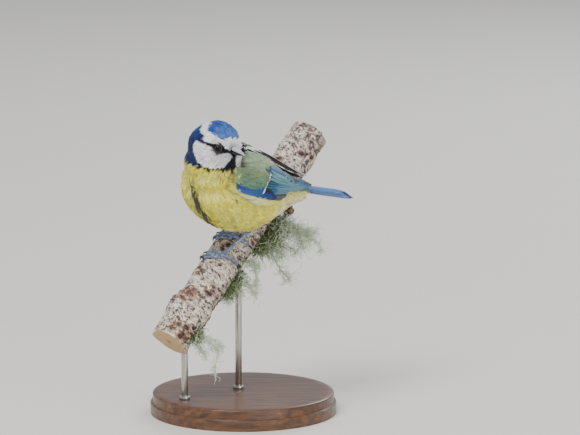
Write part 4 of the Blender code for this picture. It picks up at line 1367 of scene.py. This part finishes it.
# %% Feet round the perch
FEET = {
    "left": dict(along=-8.6, turn=11.0, ankle=(3.4, -12.0, 89.2), slant=-0.06),
    "right": dict(along=2.2, turn=16.0, ankle=(1.5, -6.0, 97.0), slant=-0.04),
}
TOES = (
    # name, place beside the middle toe, sweep round the perch, where the claw starts, thickness, joints
    ("toe_2", -1.2, 68.0, 0.68, 0.9, 2),
    ("toe_3", 0.0, 80.0, 0.72, 1.0, 3),
    ("toe_4", 1.2, 70.0, 0.70, 0.85, 4),
    ("toe_1", 0.3, -76.0, 0.64, 1.12, 1),
)
for label, foot in FEET.items():
    flesh, claws = [], []
    for toe, beside, sweep, claw_from, thick, joints in TOES:
        path, radii = [], []
        for i in range(61):
            share = i / 60
            along = foot["along"] + beside + (0.6 * beside + foot["slant"] * max(sweep, -20.0)) * share
            turn = foot["turn"] + sweep * share
            claw = max(0.0, (share - claw_from) / (1 - claw_from))
            toe_share = min(1.0, share / claw_from)
            knuckle = 0.1 * math.cos(2 * math.pi * joints * toe_share)
            scale = 0.035 * ((toe_share * 14) % 1.0)
            radius = 0.85 * thick * (1 - 0.16 * toe_share) * (1 + knuckle + scale)
            if claw > 0:
                radius = 0.5 * (1 - claw**1.3 * 0.86)
            centre = PERCH_RADIUS + 0.3 + radius + 0.9 * math.sin(math.pi * claw) * (claw > 0)
            path.append(on_perch(along, turn, centre))
            radii.append(radius * MM)
        cut = int(60 * claw_from)
        flesh.append(new_tube(f"{toe}_{label}", path[: cut + 1], radii[: cut + 1], scaly, 12))
        claws.append(new_tube(f"claw_{toe}_{label}", path[cut - 1 :], [0.5 * MM, *radii[cut:]], claw_finish, 8))
    ankle, heel = np.array(foot["ankle"]) * MM, on_perch(foot["along"], foot["turn"], PERCH_RADIUS + 1.7)
    path, radii = [], []
    for i in range(41):
        share = i / 40
        path.append(heel + (ankle - heel) * (share * 1.04 - 0.04))
        radii.append((0.72 + 0.5 * (1 - share) ** 6 + 0.35 * share**4 + 0.05 * ((share * 9) % 1.0)) * MM)
    flesh.append(new_tube("tarsus_" + label, path, radii, scaly, 12))
    mount(join("foot_" + label, flesh), "leg", "leg_" + label)
    mount(join("claws_" + label, claws), "leg", "leg_" + label)
print("toes on each foot:", len(TOES))

# %% [markdown]
# ## Perch
#
# The perch is a cut length of an old branch. A fine cylinder is displaced into ridges, knots and flakes.
# Its bark is a pale crust, broken by dark scars that run round it, with orange and green in the cracks.
# Where the feet grip, it stays close to the measured radius.


# %% The bark's form
def bark_radius(along, turn):
    """The perch's radius in mm at places along it and turns round it, in radians."""
    rough = 0.35 * np.sin(3 * turn + 0.21 * along) + 0.3 * np.sin(5 * turn - 0.4 * along)
    rough = rough + 0.35 * np.sin(0.33 * along + 1.3)
    knot = 1.5 * np.exp(-(((along + 39) / 4.5) ** 2)) * (0.6 + 0.4 * np.cos(turn - 2.2))
    knot = knot + 1.3 * np.exp(-(((along - 45) / 5.0) ** 2)) * (0.6 + 0.4 * np.cos(turn + 1.0))
    away = np.minimum(np.abs(along + 18), np.abs(along - 16)) / 6.0
    calm = np.where((along > -18) & (along < 16), 0.0, np.minimum(1.0, away))
    return PERCH_RADIUS + (rough + knot) * calm


def rough_of(points, size, detail):
    """Fractal noise from about -1 to 1 at points in metres, for features of a size in mm."""
    return np.array([noise.fractal(Vector(p) / (size * MM), 0.7, 2.1, detail) for p in points.tolist()])


SIDES, BODY_ROWS, CAP_ROWS = 160, 330, 14
SCARS = np.random.default_rng(12).uniform((PERCH_LOW, 0, 1.6, 1.0), (PERCH_HIGH, 2 * math.pi, 3.4, 2.0), (46, 4))


def scar_share(along, turn):
    """1 inside the old leaf and lichen scars, 0 outside, with their rims between."""
    most = np.zeros(len(along))
    for place, at, wide, tall in SCARS:
        round_it = (turn - at + math.pi) % (2 * math.pi) - math.pi
        size = ((along - place) / tall) ** 2 + (round_it * PERCH_RADIUS / wide) ** 2
        most = np.maximum(most, np.exp(-size * 1.1))
    return most


deselect()
bpy.ops.mesh.primitive_grid_add(x_subdivisions=SIDES, y_subdivisions=BODY_ROWS + 2 * CAP_ROWS - 1, size=2)
branch = bpy.context.object
sheet = points_of(branch)
turn = (sheet[:, 0] + 1) * math.pi
row = np.round((sheet[:, 1] + 1) / 2 * (BODY_ROWS + 2 * CAP_ROWS - 1))
share = np.clip((row - CAP_ROWS) / (BODY_ROWS - 1), 0, 1)
along = PERCH_LOW + 0.6 + (PERCH_HIGH - PERCH_LOW - 1.2) * share
inward = np.clip(np.maximum(CAP_ROWS - row, row - CAP_ROWS - BODY_ROWS + 1) / CAP_ROWS, 0, 1)
spread = np.stack([np.cos(turn), np.sin(turn)], 1) * PERCH_RADIUS
line = np.stack([along, spread[:, 0], spread[:, 1]], 1) * MM
coarse, fine = rough_of(line * np.array([1.6, 1, 1]), 3.4, 4), rough_of(line * np.array([2.2, 1, 1]), 1.0, 3)
scar = scar_share(along, turn) * (inward < 0.01)
calm = np.clip(np.minimum(np.abs(along + 18), np.abs(along - 16)) / 6.0, 0, 1)
calm = np.where((along > -18) & (along < 16), 0.35, 0.35 + 0.65 * calm)
flakes = np.clip(fine - 0.12, 0, 1) * 0.5
scar_rim = 0.35 * np.exp(-(((scar - 0.45) / 0.2) ** 2))
radius = bark_radius(along, turn) + calm * (0.32 * coarse + flakes + scar_rim - 0.35 * scar)
radius = radius * (1 - inward) ** 0.9
end_way = np.where(row < CAP_ROWS, -1.0, 1.0) * (inward > 0)
along = along + end_way * 0.35 * np.sin(np.clip(inward, 0, 0.15) / 0.15 * math.pi / 2) + 0.12 * fine * (inward > 0)
out = np.cos(turn)[:, None] * PERCH_FACING + np.sin(turn)[:, None] * PERCH_LEFT
places = PERCH_AT + (PERCH_WAY * along[:, None] + out * radius[:, None]) * MM
branch.data.vertices.foreach_set("co", places.astype(np.float32).ravel())
tone = np.stack([share, turn, coarse, scar, inward], 1)


def bark_tint(share, turn, coarse, scar, inward):
    """Colours of the bark: crust, cracks, orange patches, scars and the sawn ends."""
    shades = {
        name: np.array(colour(*chart))
        for name, chart in {
            "crust": (228, 220, 204),
            "pink": (190, 174, 160),
            "orange": (156, 104, 62),
            "plum": (72, 52, 58),
            "soot": (38, 30, 32),
            "moss": (112, 116, 70),
            "wood": (206, 178, 134),
            "heart": (150, 112, 74),
        }.items()
    }

    def lay(base, name, amount):
        amount = np.clip(amount, 0, 1)[:, None]
        return base * (1 - amount) + shades[name] * amount

    place = share * (PERCH_HIGH - PERCH_LOW) * MM
    at = np.stack([place, np.cos(turn) * PERCH_RADIUS * MM, np.sin(turn) * PERCH_RADIUS * MM], 1)
    broad = rough_of(at, 11.0, 3)
    flecks = rough_of(at * np.array([2.4, 1, 1]) + 0.05, 1.5, 3)
    patches = rough_of(at * np.array([1.5, 1, 1]) + 0.1, 2.6, 4)
    made = np.tile(shades["crust"], (len(share), 1))
    made = lay(made, "pink", 0.5 + 1.4 * coarse)
    made = lay(made, "orange", step(broad + 0.5 * patches, 0.12, 0.42) * 0.75 * (1 - 0.85 * step(share, 0.3, 0.5)))
    made = lay(made, "moss", step(np.cos(turn + math.radians(100)) + 0.8 * patches, 0.75, 1.2) * 0.8)
    made = lay(made, "plum", step(patches + 0.35 * broad, 0.2, 0.3) * 0.8)
    made = lay(made, "soot", step(flecks, 0.2, 0.3) * 0.9)
    made = lay(made, "orange", np.exp(-(((scar - 0.42) / 0.16) ** 2)) * 0.55)
    made = lay(made, "plum", step(scar, 0.5, 0.68) * 0.9)
    made = lay(made, "soot", step(scar, 0.62, 0.8) * step(flecks, -0.1, 0.15) * 0.8)
    sawn = step(inward, 0.02, 0.09)
    rings = 0.5 + 0.5 * np.sin(inward * 60 + 2.5 * coarse)
    end = lay(np.tile(shades["wood"], (len(share), 1)), "heart", 0.35 * rings + step(inward, 0.9, 0.97))
    return made * (1 - sawn[:, None]) + end * sawn[:, None]


def tinted_finish(name, roughness, grain, depth):
    """Reads a tint for each point, with fine grain in colour and relief."""
    finish, nodes, links, shader = new_finish(name, roughness)
    own = nodes.new("ShaderNodeAttribute")
    own.attribute_name = "tint"
    place = nodes.new("ShaderNodeTexCoord").outputs["Object"]
    fine = add_noise(nodes, links, place, grain, 5, 0.6)
    speckle = add_ramp(nodes, links, fine, ((0.3, (0.72,) * 3), (0.65, (1.12,) * 3)))
    links.new(add_mix(nodes, links, "MULTIPLY", 1.0, own.outputs["Color"], speckle), shader.inputs["Base Color"])
    add_bump(nodes, links, shader, fine, 0.5, depth)
    return finish


def tint(obj, colours):
    layer = obj.data.color_attributes.new("tint", "FLOAT_COLOR", "POINT")
    rgba = np.ones((len(obj.data.vertices), 4), np.float32)
    rgba[:, :3] = np.clip(colours, 0, 1)
    layer.data.foreach_set("color", rgba.ravel())


tint(branch, bark_tint(*tone.T))
pick(branch)
bpy.ops.object.mode_set(mode="EDIT")
bpy.ops.mesh.select_all(action="SELECT")
bpy.ops.mesh.remove_doubles(threshold=0.0005 * MM)
bpy.ops.mesh.normals_make_consistent(inside=False)
bpy.ops.object.mode_set(mode="OBJECT")
bark = tinted_finish("bark", 0.88, 1400, 0.0002)
settle(branch, "branch", bark)
branch.data.shade_smooth()
mount(branch, "bark", "perch")
print("branch:", len(branch.data.vertices), "points, thickest", round(float(radius.max()), 1), "mm")

# %% The stump of a side twig
root, tip = on_perch(36, -72, 4), on_perch(30, -78, 14)
path = [root + (tip - root) * i / 40 for i in range(41)] + [tip + (tip - root) * 0.004 * i for i in (1, 2)]
wide = [3.6 - 1.2 * i / 40 + 0.25 * math.sin(i * 0.9) for i in range(41)] + [1.6, 0.2]
stump = new_tube("stump", path, [w * MM for w in wide], bark, 48)
places = points_of(stump)
relief_and_shade = rough_of(places, 1.4, 4)
flat = np.empty(len(places) * 3, np.float32)
stump.data.vertices.foreach_get("normal", flat)
places = places + flat.reshape(-1, 3) * (relief_and_shade * 0.35 * MM)[:, None]
stump.data.vertices.foreach_set("co", places.astype(np.float32).ravel())
# painted shade: the stump is darker in its dents and lighter on its bumps, following the same relief that shapes it
light, dark = np.array(colour(150, 120, 92)), np.array(colour(44, 34, 32))
tint(stump, dark + (light - dark) * np.clip(0.3 + 1.6 * relief_and_shade, 0, 1)[:, None])
mount(stump, "bark", "perch")

# %% [markdown]
# ## Lichen
#
# Beard lichen hangs in tufts from the underside of the branch. It is all threads: each leaves a crust on
# the bark, forks again and again, and curls under its own weight. They are dull green near the bark, and
# pale, almost white, at the tips that reach out into the light.

# %% Threads that fork and curl
RINGS_OF, STEPS = 3, 12


def at_pixel(px, py, depth):
    """The point in metres that shows at a pixel of the photograph, at a depth along Y."""
    high = ((413 - py) * PIXEL - depth * math.sin(LOOK_DOWN)) / math.cos(LOOK_DOWN)
    return np.array([(px - 243) * PIXEL, depth, high])


def threads(starts, ways, lengths, thickness, curl, sag, draw):
    """Paths of threads, all at once: starts and ways in metres, lengths in mm."""
    count = len(starts)
    paths = np.empty((count, STEPS + 1, 3))
    paths[:, 0] = starts
    way = unit(ways)
    axis = unit(draw.normal(size=(count, 3)))
    for i in range(STEPS):
        paths[:, i + 1] = paths[:, i] + way * (lengths / STEPS)[:, None] * MM
        axis = unit(axis + 0.5 * draw.normal(size=(count, 3)))
        way = unit(way + curl * np.cross(axis, way) + np.array([0, 0, -sag]))
    radii = thickness[:, None] * np.linspace(1, 0.3, STEPS + 1) ** 0.8
    return paths, radii


def thread_mesh(name, paths, radii, tints, finish):
    """Three-sided closed tubes along many paths, as one mesh."""
    count = len(paths)
    ahead = unit(np.gradient(paths, axis=1))
    side = unit(np.cross(ahead, np.array([0.31, 0.9, 0.3])))
    over = np.cross(ahead, side)
    rings = []
    for k in range(RINGS_OF):
        a = 2 * math.pi * k / RINGS_OF
        rings.append(paths + (side * math.cos(a) + over * math.sin(a)) * radii[..., None] * MM)
    points = np.stack(rings, 2).reshape(count, -1, 3)
    faces = []
    for i in range(STEPS):
        for k in range(RINGS_OF):
            a, b = i * RINGS_OF + k, i * RINGS_OF + (k + 1) % RINGS_OF
            faces += [(a, b, b + RINGS_OF), (a, b + RINGS_OF, a + RINGS_OF)]
    last = STEPS * RINGS_OF
    faces += [(0, 2, 1), (last, last + 1, last + 2)]
    faces = np.array(faces)
    faces = (np.arange(count)[:, None, None] * (STEPS + 1) * RINGS_OF + faces[None]).reshape(-1, 3)
    made = new_mesh(name, points.reshape(-1, 3), faces, finish)
    tint(made, np.repeat(tints, RINGS_OF, axis=1).reshape(-1, 3))
    return made


DEEP, FERN, MINT = (np.array(colour(*c)) for c in ((76, 88, 54), (126, 144, 100), (218, 230, 206)))
lichen_finish = tinted_finish("lichen", 0.9, 1500, 0.00005)


def lichen(name, along, turn, spread, count, length, curl, sag, strands, seed):
    """Beard lichen: threads from a crust on the bark, and longer strands through pixels of the photograph."""
    draw = np.random.default_rng(seed)
    back = float(on_perch(along, turn, 10)[1])
    place = along + spread * draw.uniform(-1, 1, count)
    angle = turn + draw.normal(0, 9, count)
    ways, starts = [], []
    for a, t in zip(place, angle):
        surface = float(bark_radius(np.array([a]), np.array([math.radians(t)]))[0])
        starts.append(on_perch(a, t, surface - 0.2))
        ways.append(on_perch(a, t, 2.0) - on_perch(a, t, 1.0))
    starts, ways = np.array(starts), unit(ways) + draw.normal(0, 0.45, (count, 3))
    middle = 1 - 0.55 * np.abs((place - along) / spread) ** 2
    reach = length * draw.uniform(0.35, 1.0, count) * middle
    sets = [threads(starts, ways, reach, draw.uniform(0.2, 0.34, count), curl, sag, draw)]
    age = [np.linspace(0, 1, STEPS + 1)[None] * reach[:, None] / length]
    for spots, thick in strands:
        spots = np.array([at_pixel(px, py, back) for px, py in spots])
        here = np.linspace(0, len(spots) - 1, STEPS + 1)
        stem = np.stack([np.interp(here, np.arange(len(spots)), spots[:, k]) for k in range(3)], 1)
        stems = stem + draw.normal(0, 0.17 * MM, (5, STEPS + 1, 3)) * np.linspace(0.6, 1.4, STEPS + 1)[None, :, None]
        sets.append((stems, np.full((5, 1), thick) * np.linspace(1.5, 1.0, STEPS + 1)))
        age.append(np.linspace(0.45, 1.4, STEPS + 1)[None] + np.zeros((5, 1)))
        for _ in range(12):
            at = draw.integers(1, STEPS, 5)
            which = np.arange(5)
            ways_off = unit(stems[which, at] - stems[which, at - 1]) + draw.normal(0, 0.8, (5, 3))
            twig = threads(stems[which, at], ways_off, draw.uniform(1.5, 4.5, 5), np.full(5, thick), 0.35, 0.06, draw)
            sets.append(twig)
            age.append(0.6 + 0.7 * at[:, None] / STEPS + np.zeros((1, STEPS + 1)))
    for generation in range(2):
        paths = np.concatenate([s[0] for s in sets])
        radii = np.concatenate([s[1] for s in sets])
        ages = np.concatenate(age)
        some = draw.choice(len(paths), int(len(paths) * (0.8, 0.5)[generation]))
        at = draw.integers(2, STEPS, len(some))
        starts = paths[some, at]
        ways = unit(paths[some, at] - paths[some, at - 1]) + draw.normal(0, 0.75, (len(some), 3))
        reach = length * draw.uniform(0.14, 0.4, len(some))
        sets.append(threads(starts, ways, reach, radii[some, at] * 0.85, curl * 1.2, sag, draw))
        age.append(ages[some, at][:, None] + np.linspace(0, 0.4, STEPS + 1)[None])
    paths, radii, ages = (np.concatenate(x) for x in ([s[0] for s in sets], [s[1] for s in sets], age))
    own = ages + draw.normal(0, 0.12, (len(ages), 1))
    first, second = step(own, 0.0, 0.35)[..., None], step(own, 0.4, 0.95)[..., None]
    tints = DEEP * (1 - first) + FERN * first
    tints = tints * (1 - second) + MINT * second
    made = thread_mesh(name + "_threads", paths, np.maximum(radii, 0.09), tints, lichen_finish)
    print(name, "has", len(paths), "threads,", len(made.data.polygons), "triangles")
    return mount(made, "lichen", name)


lichen(
    "lichen_upper", 17.0, -94.0, 10.0, 460, 18.0, 0.3, 0.06,
    [
        (((278, 226), (288, 227), (296, 232), (306, 235), (314, 240), (320, 246), (321, 254)), 0.24),
        (((276, 226), (288, 228), (298, 229), (306, 229), (312, 232), (317, 231)), 0.22),
        (((276, 230), (288, 230), (298, 233), (307, 237), (313, 238)), 0.22),
        (((280, 230), (292, 232), (300, 240), (304, 250)), 0.18),
        (((276, 220), (284, 222), (292, 226), (300, 231), (308, 236)), 0.2),
        (((262, 238), (270, 250), (277, 264), (284, 274), (291, 281)), 0.18),
        (((266, 238), (275, 248), (284, 257)), 0.2),
        (((270, 236), (282, 244), (292, 248), (297, 254)), 0.18),
    ],
    3,
)
lichen(
    "lichen_middle", -14.0, -96.0, 7.0, 190, 12.0, 0.3, 0.12,
    [
        (((240, 262), (247, 262), (254, 266), (257, 278), (256, 284)), 0.18),
        (((238, 270), (246, 280), (252, 290), (257, 298)), 0.17),
        (((243, 262), (252, 261), (259, 266)), 0.16),
    ],
    5,
)
lichen(
    "lichen_lower", -45.0, -84.0, 4.0, 70, 9.0, 0.35, 0.2,
    [
        (((196, 337), (205, 338), (213, 338), (219, 340), (222, 348)), 0.17),
        (((196, 338), (205, 339), (213, 344), (219, 350), (217, 359), (215, 369), (216, 376)), 0.18),
        (((194, 338), (200, 345), (206, 356)), 0.15),
    ],
    8,
)
